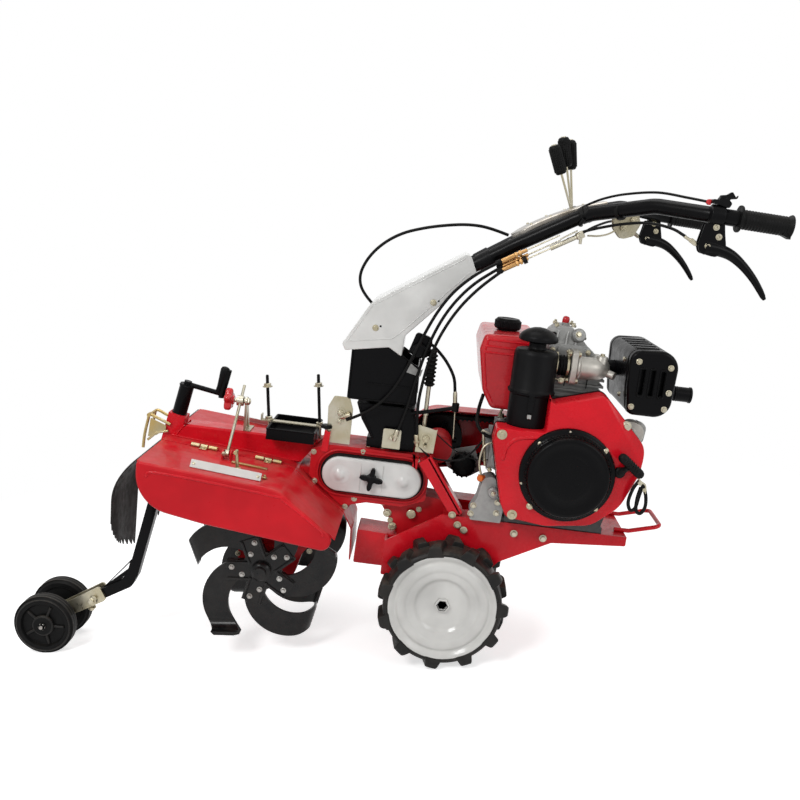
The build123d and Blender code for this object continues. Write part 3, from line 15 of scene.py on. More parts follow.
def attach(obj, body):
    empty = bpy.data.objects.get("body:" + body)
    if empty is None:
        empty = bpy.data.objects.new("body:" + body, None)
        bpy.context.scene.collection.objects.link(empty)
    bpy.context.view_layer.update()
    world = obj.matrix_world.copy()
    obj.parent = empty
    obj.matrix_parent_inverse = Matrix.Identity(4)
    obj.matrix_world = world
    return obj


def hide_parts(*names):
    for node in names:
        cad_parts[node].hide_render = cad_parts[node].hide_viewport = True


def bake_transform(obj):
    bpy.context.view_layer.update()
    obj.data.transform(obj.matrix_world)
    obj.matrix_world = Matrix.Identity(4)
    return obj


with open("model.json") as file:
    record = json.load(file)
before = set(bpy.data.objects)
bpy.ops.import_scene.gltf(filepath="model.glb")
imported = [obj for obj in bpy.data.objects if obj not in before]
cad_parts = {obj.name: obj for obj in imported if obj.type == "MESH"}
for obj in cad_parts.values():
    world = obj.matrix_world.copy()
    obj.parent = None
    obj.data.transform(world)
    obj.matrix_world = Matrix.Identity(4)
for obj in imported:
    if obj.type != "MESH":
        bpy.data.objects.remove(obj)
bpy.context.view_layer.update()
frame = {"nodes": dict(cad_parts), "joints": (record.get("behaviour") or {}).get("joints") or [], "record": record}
nodes = frame["nodes"]
joints = {joint["name"]: joint for joint in frame["joints"]}

# The machine's level frame: the drive axle's place and the lean onto its wheels
MM = 0.001
TILT = math.radians(9.0)
AXLE = Vector(joints["wheel_near_spin"]["pos_m"])
AXLE.y = 0.0
LEAN = Matrix.Translation(AXLE) @ Matrix.Rotation(TILT, 4, "Y") @ Matrix.Scale(MM, 4)


def lean(x, y, z):
    """A point of the machine's level frame, in the row frame."""
    return LEAN @ Vector((x, y, z))


# Camera, at the photograph's viewing angle

EYE_FROM_AXLE = Vector((0.032, -2.160, 0.878))
CAMERA_YAW = math.radians(3.1)
CAMERA_PITCH = math.radians(11.3)
CAMERA_ROLL = math.radians(-2.5)
LENS_MM = 41.85
SENSOR_MM = 36.0


def add_camera():
    """The camera, rolled a little as the photograph is."""
    data = bpy.data.cameras.new("camera")
    data.lens = LENS_MM
    data.sensor_width = SENSOR_MM
    camera = bpy.data.objects.new("camera", data)
    bpy.context.scene.collection.objects.link(camera)
    level = math.cos(CAMERA_PITCH)
    forward = Vector((-math.sin(CAMERA_YAW) * level, math.cos(CAMERA_YAW) * level, -math.sin(CAMERA_PITCH)))
    right = Vector((math.cos(CAMERA_YAW), math.sin(CAMERA_YAW), 0))
    up = right.cross(forward)
    right_rolled = math.cos(CAMERA_ROLL) * right + math.sin(CAMERA_ROLL) * up
    up_rolled = math.cos(CAMERA_ROLL) * up - math.sin(CAMERA_ROLL) * right
    turn = Matrix((right_rolled, up_rolled, -forward)).transposed().to_4x4()
    camera.matrix_world = Matrix.Translation(AXLE + EYE_FROM_AXLE) @ turn
    bpy.context.scene.camera = camera


add_camera()


# Control cables: routes in the level frame, the same points as the solids follow

CABLE_RADIUS = 3.5
LOOP_ROUTE = [
    (48, -8, 838), (4, -7, 850), (-44, -6, 852), (-96, -5, 844), (-146, -4, 832), (-196, -3, 814), (-238, -2, 784),
    (-268, 0, 746), (-282, 2, 704), (-268, 4, 666), (-236, 4, 640),
]
CABLE_ROUTES = [
    [(46, -86, 776), (12, -92, 752), (-22, -97, 724), (-52, -97, 688), (-76, -94, 648), (-95, -91, 602),
     (-109, -89, 554), (-119, -86, 506), (-128, -83, 458), (-137, -84, 410), (-150, -83, 366)],
    [(46, -96, 768), (16, -104, 742), (-14, -109, 712), (-42, -108, 676), (-65, -104, 636), (-84, -101, 592),
     (-97, -99, 546), (-105, -97, 498), (-110, -94, 450), (-108, -92, 404), (-103, -91, 362)],
    [(42, -92, 786), (4, -100, 764), (-32, -106, 736), (-64, -107, 702), (-90, -102, 660), (-111, -98, 612),
     (-129, -95, 562), (-148, -93, 512), (-170, -89, 464), (-202, -84, 424), (-238, -74, 396), (-270, -64, 378)],
]


def cable_curve(name, route, radius):
    """One open spline through the row frame, with the route's points as its control points."""
    data = bpy.data.curves.new(name, "CURVE")
    data.dimensions = "3D"
    spline = data.splines.new("NURBS")
    spline.points.add(len(route) - 1)
    for point, corner in zip(spline.points, route):
        point.co = (*lean(*corner), 1.0)
    spline.order_u = 3
    spline.use_endpoint_u = True
    spline.resolution_u = 10
    data.bevel_depth = radius * MM
    data.bevel_resolution = 4
    data.use_fill_caps = True
    return data


def cable_line(route):
    """The points of a cable's centre line, in the row frame."""
    data = cable_curve("line", route, 0.0)
    thing = bpy.data.objects.new("line", data)
    mesh = bpy.data.meshes.new_from_object(thing)
    points = [vertex.co.copy() for vertex in mesh.vertices]
    bpy.data.objects.remove(thing)
    bpy.data.curves.remove(data)
    bpy.data.meshes.remove(mesh)
    return points


def add_cable(name, route, node):
    """A control cable as a mesh tube."""
    source = bpy.data.objects.new(name + "_source", cable_curve(name + "_source", route, CABLE_RADIUS))
    mesh = bpy.data.meshes.new_from_object(source)
    bpy.data.objects.remove(source)
    cable = bpy.data.objects.new(name, mesh)
    bpy.context.scene.collection.objects.link(cable)
    for face in mesh.polygons:
        face.use_smooth = True
    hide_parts(node)
    line = cable_line(route)
    length = sum((b - a).length for a, b in zip(line, line[1:]))
    return cable, line, length


def add_cables():
    """The loop cable on the handlebar, and the three that run down from it to the chassis."""
    made = []
    loop, line, length = add_cable("loop_cable", LOOP_ROUTE, "cable_loop")
    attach(loop, "handlebar")
    made.append(loop)
    for index, route in enumerate(CABLE_ROUTES):
        cable, line, length = add_cable("control_cable_%d" % (index + 1), route, "control_cables")
        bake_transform(cable)
        made.append(cable)
    return made


cables = add_cables()


# Materials

class Surface:
    """A node tree around one principled shader, built a layer at a time."""

    def __init__(self, name):
        self.material = bpy.data.materials.new(name)
        self.material.use_nodes = True
        self.tree = self.material.node_tree
        self.shader = self.tree.nodes["Principled BSDF"]
        self.coords = self.add("ShaderNodeTexCoord").outputs["Object"]
        self.geometry = self.add("ShaderNodeNewGeometry")
        self.color = None
        self.rough = None
        self.normal = None

    def add(self, kind, **settings):
        node = self.tree.nodes.new(kind)
        for key, value in settings.items():
            setattr(node, key, value)
        return node

    def join(self, output, socket):
        self.tree.links.new(output, socket)

    def fill(self, socket, value):
        """Sets a socket to a plain value, or links it where the value is another node's output."""
        if isinstance(value, bpy.types.NodeSocket):
            self.join(value, socket)
        else:
            socket.default_value = value

    def cloud(self, scale, detail=4.0, roughness=0.55):
        """A noise pattern in the object's own coordinates, in metres."""
        node = self.add("ShaderNodeTexNoise")
        node.inputs["Scale"].default_value = scale
        node.inputs["Detail"].default_value = detail
        node.inputs["Roughness"].default_value = roughness
        self.join(self.coords, node.inputs["Vector"])
        return node.outputs["Fac"]

    def ramp(self, value, low, high, start=0.0, end=1.0):
        """value between low and high, spread from start to end and clamped."""
        node = self.add("ShaderNodeMapRange")
        for name, number in (("From Min", low), ("From Max", high), ("To Min", start), ("To Max", end)):
            node.inputs[name].default_value = number
        self.join(value, node.inputs["Value"])
        return node.outputs["Result"]

    def math(self, kind, a, b):
        node = self.add("ShaderNodeMath", operation=kind)
        self.fill(node.inputs[0], a)
        self.fill(node.inputs[1], b)
        return node.outputs[0]

    def mix(self, share, first, second):
        """A colour between two others."""
        node = self.add("ShaderNodeMix", data_type="RGBA")
        self.fill(node.inputs["Factor"], share)
        for socket, value in ((node.inputs[6], first), (node.inputs[7], second)):
            self.fill(socket, (*value, 1.0) if isinstance(value, tuple) else value)
        return node.outputs[2]

    def upward(self):
        """1 where the surface faces up and 0 where it faces down or stands upright."""
        split = self.add("ShaderNodeSeparateXYZ")
        self.join(self.geometry.outputs["Normal"], split.inputs[0])
        return self.ramp(split.outputs["Z"], 0.15, 0.95)

    def soft_edges(self, radius_mm):
        """Rounds the look of hard edges, and returns how much of an edge each place is."""
        bevel = self.add("ShaderNodeBevel", samples=4)
        bevel.inputs["Radius"].default_value = radius_mm * MM
        dot = self.add("ShaderNodeVectorMath", operation="DOT_PRODUCT")
        self.join(bevel.outputs["Normal"], dot.inputs[0])
        self.join(self.geometry.outputs["Normal"], dot.inputs[1])
        self.normal = bevel.outputs["Normal"]
        return self.ramp(dot.outputs["Value"], 0.99, 0.86)

    def bump(self, height, strength, distance_mm):
        node = self.add("ShaderNodeBump")
        node.inputs["Strength"].default_value = strength
        node.inputs["Distance"].default_value = distance_mm * MM
        self.join(height, node.inputs["Height"])
        if self.normal is not None:
            self.join(self.normal, node.inputs["Normal"])
        self.normal = node.outputs["Normal"]

    def done(self):
        if self.color is not None:
            self.join(self.color, self.shader.inputs["Base Color"])
        if self.rough is not None:
            self.join(self.rough, self.shader.inputs["Roughness"])
        if self.normal is not None:
            self.join(self.normal, self.shader.inputs["Normal"])
        return self.material


DUST = (0.30, 0.25, 0.19)


def paint(name, color, rough=0.22, coat=0.6, dust=0.12, edge=1.2, wear=(0.55, 0.50, 0.46), wear_share=0.25,
          grain=0.0, gloss=0.22):
    """Gloss paint: a little colour drift, fine orange peel, thin dust on upward faces and rubbed edges."""
    s = Surface(name)
    edges = s.soft_edges(edge)
    drift = s.cloud(9.0, 3.0)
    dark = tuple(c * 0.80 for c in color)
    s.color = s.mix(s.ramp(drift, 0.35, 0.65), dark, color)
    rubbed = s.math("MULTIPLY", edges, s.ramp(s.cloud(160.0, 5.0), 0.50, 0.68))
    s.color = s.mix(s.math("MULTIPLY", rubbed, wear_share), s.color, wear)
    film = s.math("MULTIPLY", s.upward(), s.ramp(s.cloud(26.0, 6.0, 0.65), 0.42, 0.72))
    s.color = s.mix(s.math("MULTIPLY", film, dust), s.color, DUST)
    s.rough = s.math("ADD", s.ramp(s.cloud(55.0, 4.0), 0.3, 0.7, rough * 0.8, rough * 1.25),
                     s.math("MULTIPLY", film, 0.25))
    if grain:
        s.bump(s.cloud(420.0, 5.0, 0.6), grain, 0.7)
    s.bump(s.cloud(300.0, 2.0), 0.05, 0.4)
    s.shader.inputs["Coat Weight"].default_value = coat
    s.shader.inputs["Coat Roughness"].default_value = 0.06
    s.shader.inputs["Coat IOR"].default_value = 1.35
    s.shader.inputs["Specular IOR Level"].default_value = gloss
    return s.done()


def bare_metal(name, color, second, rough=0.34):
    """Plated or bare metal with tinted patches, fine scratches and soft edges, lightened partly as wear and partly as
    a painted highlight.
    """
    s = Surface(name)
    edges = s.soft_edges(0.8)
    s.color = s.mix(s.ramp(s.cloud(14.0, 4.0), 0.40, 0.62), color, second)
    # Lighter edges: partly wear, partly a painted edge highlight.
    edge_wear_and_highlight = tuple(min(1.0, c * 1.35) for c in color)
    s.color = s.mix(s.math("MULTIPLY", edges, 0.5), s.color, edge_wear_and_highlight)
    s.rough = s.ramp(s.cloud(90.0, 6.0, 0.7), 0.3, 0.7, rough * 0.7, rough * 1.4)
    s.bump(s.cloud(520.0, 6.0, 0.7), 0.25, 0.4)
    s.shader.inputs["Metallic"].default_value = 0.9
    return s.done()


def cast_metal(name, color, rough=0.55, grain=0.35):
    """A sand casting: grey, grainy, with darker oily hollows, and lighter edges that are partly wear and partly a
    painted highlight.
    """
    s = Surface(name)
    edges = s.soft_edges(1.4)
    stain = s.ramp(s.cloud(18.0, 5.0, 0.6), 0.45, 0.75)
    s.color = s.mix(stain, color, tuple(c * 0.55 for c in color))
    # Lighter edges: partly wear, partly a painted edge highlight.
    s.color = s.mix(s.math("MULTIPLY", edges, 0.45), s.color, tuple(min(1.0, c * 1.4) for c in color))
    s.rough = s.ramp(s.cloud(140.0, 4.0), 0.3, 0.7, rough * 0.8, rough * 1.2)
    s.bump(s.cloud(700.0, 6.0, 0.65), grain, 0.6)
    s.shader.inputs["Metallic"].default_value = 0.55
    return s.done()


def moulded(name, color, rough=0.5, grain=0.2, dust=0.06, gloss=0.16):
    """Moulded plastic or rubber with a fine grain, scuffs and a little dust."""
    s = Surface(name)
    edges = s.soft_edges(1.0)
    lighter = tuple(min(1.0, c * 1.4 + 0.002) for c in color)
    s.color = s.mix(s.ramp(s.cloud(22.0, 5.0), 0.40, 0.75, 0.0, 0.6), color, lighter)
    scuff = s.math("MULTIPLY", edges, s.ramp(s.cloud(120.0, 5.0), 0.40, 0.65))
    s.color = s.mix(s.math("MULTIPLY", scuff, 0.35), s.color, tuple(min(1.0, c * 2.0 + 0.03) for c in color))
    film = s.math("MULTIPLY", s.upward(), s.ramp(s.cloud(30.0, 6.0, 0.65), 0.42, 0.72))
    s.color = s.mix(s.math("MULTIPLY", film, dust), s.color, DUST)
    s.rough = s.ramp(s.cloud(60.0, 5.0), 0.3, 0.7, rough * 0.8, rough * 1.2)
    s.bump(s.cloud(900.0, 3.0), grain, 0.35)
    s.shader.inputs["Specular IOR Level"].default_value = gloss
    return s.done()


def dusty_steel(name):
    """Black lacquered blades, dulled by dry soil that lies in patches, with lighter edges that are partly worn lacquer
    and partly a painted highlight.
    """
    s = Surface(name)
    edges = s.soft_edges(1.2)
    s.color = s.mix(s.ramp(s.cloud(30.0, 5.0), 0.35, 0.70), (0.004, 0.004, 0.0045), (0.016, 0.014, 0.013))
    film = s.ramp(s.cloud(14.0, 6.0, 0.7), 0.52, 0.74)
    s.color = s.mix(s.math("MULTIPLY", film, 0.12), s.color, (0.10, 0.08, 0.06))
    # Lighter edges: partly worn lacquer, partly a painted edge highlight.
    s.color = s.mix(s.math("MULTIPLY", edges, 0.25), s.color, (0.16, 0.155, 0.15))
    s.rough = s.math("ADD", s.ramp(s.cloud(70.0, 5.0), 0.3, 0.7, 0.22, 0.36), s.math("MULTIPLY", film, 0.3))
    s.bump(s.cloud(260.0, 5.0), 0.18, 0.6)
    s.shader.inputs["Coat Weight"].default_value = 0.15
    s.shader.inputs["Coat Roughness"].default_value = 0.15
    s.shader.inputs["Specular IOR Level"].default_value = 0.14
    return s.done()


def tyre_rubber(name):
    """Black tyre rubber with fine scuffs, edges lightened partly by scuffing and partly as a painted highlight, and a
    brownish film on upward faces that is partly bloom and partly a painted sheen.
    """
    s = Surface(name)
    edges = s.soft_edges(1.5)
    s.color = s.mix(s.ramp(s.cloud(16.0, 5.0), 0.35, 0.70), (0.006, 0.006, 0.006), (0.020, 0.018, 0.016))
    # Lighter edges: partly scuffs, partly a painted edge highlight.
    s.color = s.mix(s.math("MULTIPLY", edges, 0.35), s.color, (0.07, 0.065, 0.06))
    # Brownish film on upward faces: partly bloom, partly a painted sheen from the light above.
    film = s.math("MULTIPLY", s.upward(), s.ramp(s.cloud(40.0, 6.0, 0.65), 0.40, 0.70))
    s.color = s.mix(s.math("MULTIPLY", film, 0.30), s.color, (0.16, 0.13, 0.10))
    s.rough = s.ramp(s.cloud(80.0, 5.0), 0.3, 0.7, 0.38, 0.62)
    s.shader.inputs["Specular IOR Level"].default_value = 0.2
    s.bump(s.cloud(800.0, 4.0), 0.25, 0.5)
    return s.done()


RED = (0.66, 0.006, 0.016)
MATERIALS = {
    "red_paint": paint("red_paint", RED, rough=0.26, coat=0.22, dust=0.05, gloss=0.16),
    "hood_paint": paint("hood_paint", (0.60, 0.008, 0.016), rough=0.34, coat=0.12, dust=0.24, gloss=0.14),
    "red_casting": paint("red_casting", (0.52, 0.006, 0.012), rough=0.40, coat=0.1, grain=0.35, edge=1.8, dust=0.08),
    "black_paint": paint("black_paint", (0.0025, 0.0025, 0.003), rough=0.30, coat=0.06, dust=0.02, gloss=0.07,
                         wear=(0.12, 0.115, 0.11)),
    "white_paint": paint("white_paint", (0.72, 0.72, 0.70), rough=0.20, coat=0.4, dust=0.06,
                         wear=(0.42, 0.40, 0.37)),
    "rim_paint": paint("rim_paint", (0.66, 0.655, 0.63), rough=0.18, coat=0.6, dust=0.08, wear=(0.42, 0.40, 0.37)),
    "zinc": bare_metal("zinc", (0.40, 0.36, 0.25), (0.48, 0.45, 0.36)),
    "brass_zinc": bare_metal("brass_zinc", (0.46, 0.33, 0.13), (0.42, 0.36, 0.22)),
    "steel": bare_metal("steel", (0.42, 0.41, 0.39), (0.30, 0.28, 0.26)),
    "silver": bare_metal("silver", (0.36, 0.34, 0.31), (0.25, 0.22, 0.18), rough=0.30),
    "brass": bare_metal("brass", (0.50, 0.27, 0.09), (0.42, 0.25, 0.11), rough=0.32),
    "cast_alloy": cast_metal("cast_alloy", (0.34, 0.34, 0.33)),
    "smooth_alloy": cast_metal("smooth_alloy", (0.44, 0.42, 0.38), rough=0.42, grain=0.14),
    # Near-black casting used as painted shade: it goes on the crankcase, which sits in shadow behind the other parts.
    "painted_shade_casting": cast_metal("painted_shade_casting", (0.05, 0.05, 0.05), rough=0.6),
    "black_plastic": moulded("black_plastic", (0.003, 0.003, 0.0035), rough=0.42, dust=0.03, gloss=0.09),
    "red_plastic": paint("red_plastic", (0.60, 0.020, 0.028), rough=0.26, coat=0.4),
    "orange_plastic": paint("orange_plastic", (0.75, 0.16, 0.02), rough=0.35, coat=0.2),
    "rubber": moulded("rubber", (0.004, 0.004, 0.004), rough=0.5, grain=0.3, dust=0.03, gloss=0.1),
    "flap": moulded("flap", (0.018, 0.016, 0.015), rough=0.60, grain=0.4, dust=0.2),
    "tyre": tyre_rubber("tyre"),
    "blade": dusty_steel("blade"),
    "reflector": paint("reflector", (0.70, 0.69, 0.66), rough=0.28, coat=0.6, dust=0.1),
}
# The crankcase takes the near-black casting as painted shade, for a part that lies in shadow.
SPECIAL = {"rotor_tines_near": "blade", "rotor_tines_far": "blade", "rotor_shaft": "blade",
           "crankcase": "painted_shade_casting", "hood_centre": "hood_paint", "hood_wing_near": "hood_paint",
           "hood_wing_far": "hood_paint"}
for row in frame["record"]["subparts"]:
    node = nodes[row["node"]]
    node.data.materials.clear()
    node.data.materials.append(MATERIALS[SPECIAL.get(row["node"], row["material_slot"])])
for cable in cables:
    cable.data.materials.append(MATERIALS["rubber"])


# Shapes: everything is drawn in millimetres in the level frame and taken to the row frame at the end

def rounded(corners, steps=5):
    """A closed outline from (x, z, radius) corners, each rounded by an arc that touches both its sides."""
    points = []
    count = len(corners)
    for index, corner in enumerate(corners):
        here = Vector(corner[:2])
        radius = corner[2] if len(corner) > 2 else 0
        back = Vector(corners[index - 1][:2]) - here
        ahead = Vector(corners[(index + 1) % count][:2]) - here
        half = back.angle(ahead) / 2
        if radius == 0 or half > math.radians(89):
            points.append(tuple(here))
            continue
        reach = radius / math.tan(half)
        start = here + back.normalized() * reach
        centre = here + (back.normalized() + ahead.normalized()).normalized() * (radius / math.sin(half))
        first = start - centre
        turn = math.pi - 2 * half
        if first.x * ahead.y - first.y * ahead.x < 0:
            turn = -turn
        for step in range(steps + 1):
            angle = turn * step / steps
            swung = Vector((first.x * math.cos(angle) - first.y * math.sin(angle),
                            first.x * math.sin(angle) + first.y * math.cos(angle)))
            points.append(tuple(centre + swung))
    return points


def grown(outline, amount):
    """A closed outline, grown evenly outward, or shrunk where amount is less than nothing."""
    area = sum(a[0] * b[1] - b[0] * a[1] for a, b in zip(outline, outline[1:] + outline[:1]))
    way = 1 if area > 0 else -1
    made = []
    for index, point in enumerate(outline):
        here = Vector(point)
        along = (here - Vector(outline[index - 1])).normalized()
        along += (Vector(outline[(index + 1) % len(outline)]) - here).normalized()
        made.append(tuple(here + Vector((along.y, -along.x)).normalized() * (amount * way)))
    return made


def smooth_line(points, steps=6):
    """A line that passes through every point and bends softly between them."""
    line = [Vector(p) for p in points]
    ends = [2 * line[0] - line[1]] + line + [2 * line[-1] - line[-2]]
    made = []
    for a, b, c, d in zip(ends, ends[1:], ends[2:], ends[3:]):
        for step in range(steps):
            t = step / steps
            made.append(0.5 * (2 * b + (c - a) * t + (2 * a - 5 * b + 4 * c - d) * t * t
                               + (3 * b - a - 3 * c + d) * t ** 3))
    return made + [line[-1]]


def arc_line(points, radius, steps=6):
    """Straight runs joined by arcs of one radius."""
    line = [Vector(p) for p in points]
    made = [line[0]]
    for a, b, c in zip(line, line[1:], line[2:]):
        back, ahead = (a - b).normalized(), (c - b).normalized()
        half = back.angle(ahead) / 2
        reach = min(radius / math.tan(half), 0.49 * (a - b).length, 0.49 * (c - b).length)
        size = reach * math.tan(half)
        middle = (back + ahead).normalized()
        centre = b + middle * (size / math.sin(half))
        first, last = b + back * reach - centre, b + ahead * reach - centre
        turn = first.angle(last)
        for step in range(steps + 1):
            share = step / steps
            made.append(centre + (first * math.sin((1 - share) * turn) + last * math.sin(share * turn))
                        / math.sin(turn))
    return made + [line[-1]]


def facing(point, direction):
    """A place whose local Z points along direction."""
    turn = Vector(direction).to_track_quat("Z", "Y").to_matrix().to_4x4()
    return Matrix.Translation(Vector(point)) @ turn


ACROSS = Matrix.Rotation(-math.pi / 2, 4, "X")


def turns(count, start=0.0):
    """Evenly spread angles, once round."""
    return [2 * math.pi * index / count + start for index in range(count)]


class Shape:
    """A mesh under construction, in the level frame."""

    def __init__(self):
        self.bm = bmesh.new()

    def _rings(self, rings, closed_ends=True, loop=False):
        made = [[self.bm.verts.new(p) for p in ring] for ring in rings]
        pairs = list(zip(made, made[1:])) + ([(made[-1], made[0])] if loop else [])
        count = len(made[0])
        for low_ring, high_ring in pairs:
            for index in range(count):
                after = (index + 1) % count
                self.bm.faces.new((low_ring[index], low_ring[after], high_ring[after], high_ring[index]))
        if closed_ends and not loop:
            self.bm.faces.new(list(reversed(made[0])))
            self.bm.faces.new(made[-1])
        return self

    def slab(self, outline, y_low, y_high, place=None):
        """A flat outline in X and Z, thick across Y."""
        spot = place or Matrix.Identity(4)
        return self._rings([[spot @ Vector((x, y, z)) for x, z in outline] for y in (y_high, y_low)])

    def plate(self, corners, steps, y_low, y_high):
        """A slab whose corners are rounded."""
        return self.slab(rounded(corners, steps), y_low, y_high)

    def box(self, x_low, x_high, y_low, y_high, z_low, z_high, place=None):
        corners = [(x_low, z_low), (x_high, z_low), (x_high, z_high), (x_low, z_high)]
        return self.slab(corners, y_low, y_high, place)

    def pressed(self, outline, levels):
        """A panel drawn up from an outline: (growth, y) steps from its back to the crown of its face."""
        return self._rings([[Vector((x, y, z)) for x, z in grown(outline, grow)] for grow, y in levels])

    def planed(self, point, normal):
        """Cuts away what lies beyond a plane, and closes the cut."""
        everything = self.bm.verts[:] + self.bm.edges[:] + self.bm.faces[:]
        cut = bmesh.ops.bisect_plane(self.bm, geom=everything, plane_co=point, plane_no=normal, clear_outer=True)
        edges = [part for part in cut["geom_cut"] if isinstance(part, bmesh.types.BMEdge)]
        bmesh.ops.edgeloop_fill(self.bm, edges=edges)
        return self

    def turned(self, profile, place, sides=48):
        """A body turned about place's local Z, from (radius, height) points; both ends may lie on the axis."""
        rings = []
        for radius, height in profile:
            size = max(radius, 0.01)
            rings.append([place @ Vector((size * math.cos(2 * math.pi * k / sides),
                                          size * math.sin(2 * math.pi * k / sides), height))
                          for k in range(sides)])
        return self._rings(rings, closed_ends=profile[0] != profile[-1], loop=profile[0] == profile[-1])

    def rod(self, start, end, radius, sides=20, end_radius=None):
        a, b = Vector(start), Vector(end)
        return self.turned([(radius, 0), (radius if end_radius is None else end_radius, (b - a).length)],
                           facing(a, b - a), sides)

    def tube(self, line, radius, sides=16, flat=1.0):
        """A bar along a line; radius is one size or one for each point, and flat squeezes it on its second axis."""
        points = [Vector(p) for p in line]
        sizes = radius if isinstance(radius, list) else [radius] * len(points)
        tangents = [(b - a).normalized() for a, b in zip(points[:1] + points, points[1:] + points[-1:])]
        tangents[0] = (points[1] - points[0]).normalized()
        side = tangents[0].cross(Vector((0, 1, 0.01))).normalized()
        rings = []
        for point, tangent, size in zip(points, tangents, sizes):
            side = (side - tangent * side.dot(tangent)).normalized()
            other = tangent.cross(side)
            rings.append([point + side * (size * flat * math.cos(2 * math.pi * k / sides))
                          + other * (size * math.sin(2 * math.pi * k / sides)) for k in range(sides)])
        return self._rings(rings)

    def bent(self, points, steps, radius, sides=16, flat=1.0):
        """A tube that runs smoothly through every point."""
        return self.tube(smooth_line(points, steps), radius, sides, flat)

    def bolt(self, point, direction, radius=5.5, height=5.0, washer=True):
        """A hexagon head with a chamfered top on a washer."""
        place = facing(point, direction)
        if washer:
            self.turned([(0, 0), (radius * 1.35, 0), (radius * 1.35, 1.2), (radius * 1.2, 1.6), (0, 1.6)], place, 20)
        top = height + (1.6 if washer else 0)
        return self.turned([(radius, 0), (radius, top - 1), (radius * 0.86, top), (0, top)], place, 6)

    def socket_bolt(self, point, direction, radius=5.0, height=5.5):
        """A round head with a hexagon socket."""
        place = facing(point, direction)
        self.turned([(radius * 1.45, 0), (radius * 1.45, 1.4), (0, 1.4)], place, 24)
        return self.turned([(radius, 0), (radius, height - 0.7), (radius * 0.88, height), (radius * 0.52, height),
                            (radius * 0.48, height - 2.8), (0, height - 2.8)], place, 24)

    def nut(self, point, direction, radius=6.0, height=5.0, stud=3.0):
        """A nut with the end of its stud standing out."""
        place = facing(point, direction)
        self.turned([(radius, 0), (radius, height - 0.8), (radius * 0.86, height), (0, height)], place, 6)
        return self.turned([(radius * 0.52, height - 1), (radius * 0.52, height + stud - 0.6),
                            (radius * 0.4, height + stud), (0, height + stud)], place, 14)

    def done(self, name, finish, body, replaces=(), bevel=0.0, angle=32.0, segments=2, slot=None):
        """The piece: in the row frame, with its finish, its body and the nodes that it stands for."""
        bmesh.ops.remove_doubles(self.bm, verts=self.bm.verts, dist=0.015)
        bmesh.ops.recalc_face_normals(self.bm, faces=self.bm.faces)
        self.bm.transform(LEAN)
        mesh = bpy.data.meshes.new(name)
        self.bm.to_mesh(mesh)
        self.bm.free()
        for face in mesh.polygons:
            face.use_smooth = True
        piece = bpy.data.objects.new(name, mesh)
        bpy.context.scene.collection.objects.link(piece)
        mesh.materials.append(MATERIALS[finish])
        if bevel:
            soft = piece.modifiers.new("edges", "BEVEL")
            soft.width = bevel * MM
            soft.segments = segments
            soft.limit_method = "ANGLE"
            soft.angle_limit = math.radians(angle)
            soft.harden_normals = True
        else:
            mesh.set_sharp_from_angle(angle=math.radians(angle))
        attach(piece, body)
        if replaces:
            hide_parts(*replaces)
        return piece


NEAR, FAR = -1, 1
TO_NEAR, TO_FAR, UPWARD = (0, -1, 0), (0, 1, 0), (0, 0, 1)


def both_sides():
    return (("near", NEAR), ("far", FAR))


# Drive wheels

WHEEL_RADIUS = 150.0
WHEEL_Y = 150.0
LUGS = 11
LUG_SWEEP = math.tan(math.radians(16))


def add_tyre(name, side):
    """A low tyre with swept bar lugs, alternating from side to side."""
    shape = Shape()
    across = Matrix.Translation((0, side * WHEEL_Y, 0)) @ ACROSS
    shape.turned([(116, -30), (119, -36), (124, -40.5), (130, -41), (134, -38), (136, -30), (137, 0), (136, 30),
                  (134, 38), (130, 41), (124, 40.5), (119, 36), (116, 30), (116, -30)], across, 88)
    for ring in (-1, 1):
        shape.turned([(125, ring * 40), (127, ring * 42.2), (129.5, ring * 42.4), (131, ring * 40), (125, ring * 40)],
                     across, 88)
    for half in (NEAR, FAR):
        for index in range(LUGS):
            turn = Matrix.Rotation(2 * math.pi * (index + 0.25 * half) / LUGS, 4, "Y")
            rings = []
            for y, top, low in ((-1, 148.5, 130), (10, 149.6, 128), (24, 149.8, 127), (36, 149.6, 125),
                                (42, 147, 123), (44, 143, 124)):
                shift = -LUG_SWEEP * y
                wide = 16 if y < 30 else 16 + (y - 30) * 0.25
                ring = []
                for x, radius in ((-wide, low), (-wide * 0.74, top - 3), (-wide * 0.6, top), (0, top),
                                  (wide * 0.6, top), (wide * 0.74, top - 3), (wide, low)):
                    ring.append((x + shift, half * y, math.sqrt(max(radius ** 2 - x ** 2, 1))))
                rings.append([turn @ Vector(p) + Vector((0, side * WHEEL_Y, 0)) for p in ring])
            shape._rings(rings)
    shape.done("tyre_" + name, "tyre", "wheel_" + name, ["drive_tyre_" + name], bevel=1.4, angle=34)


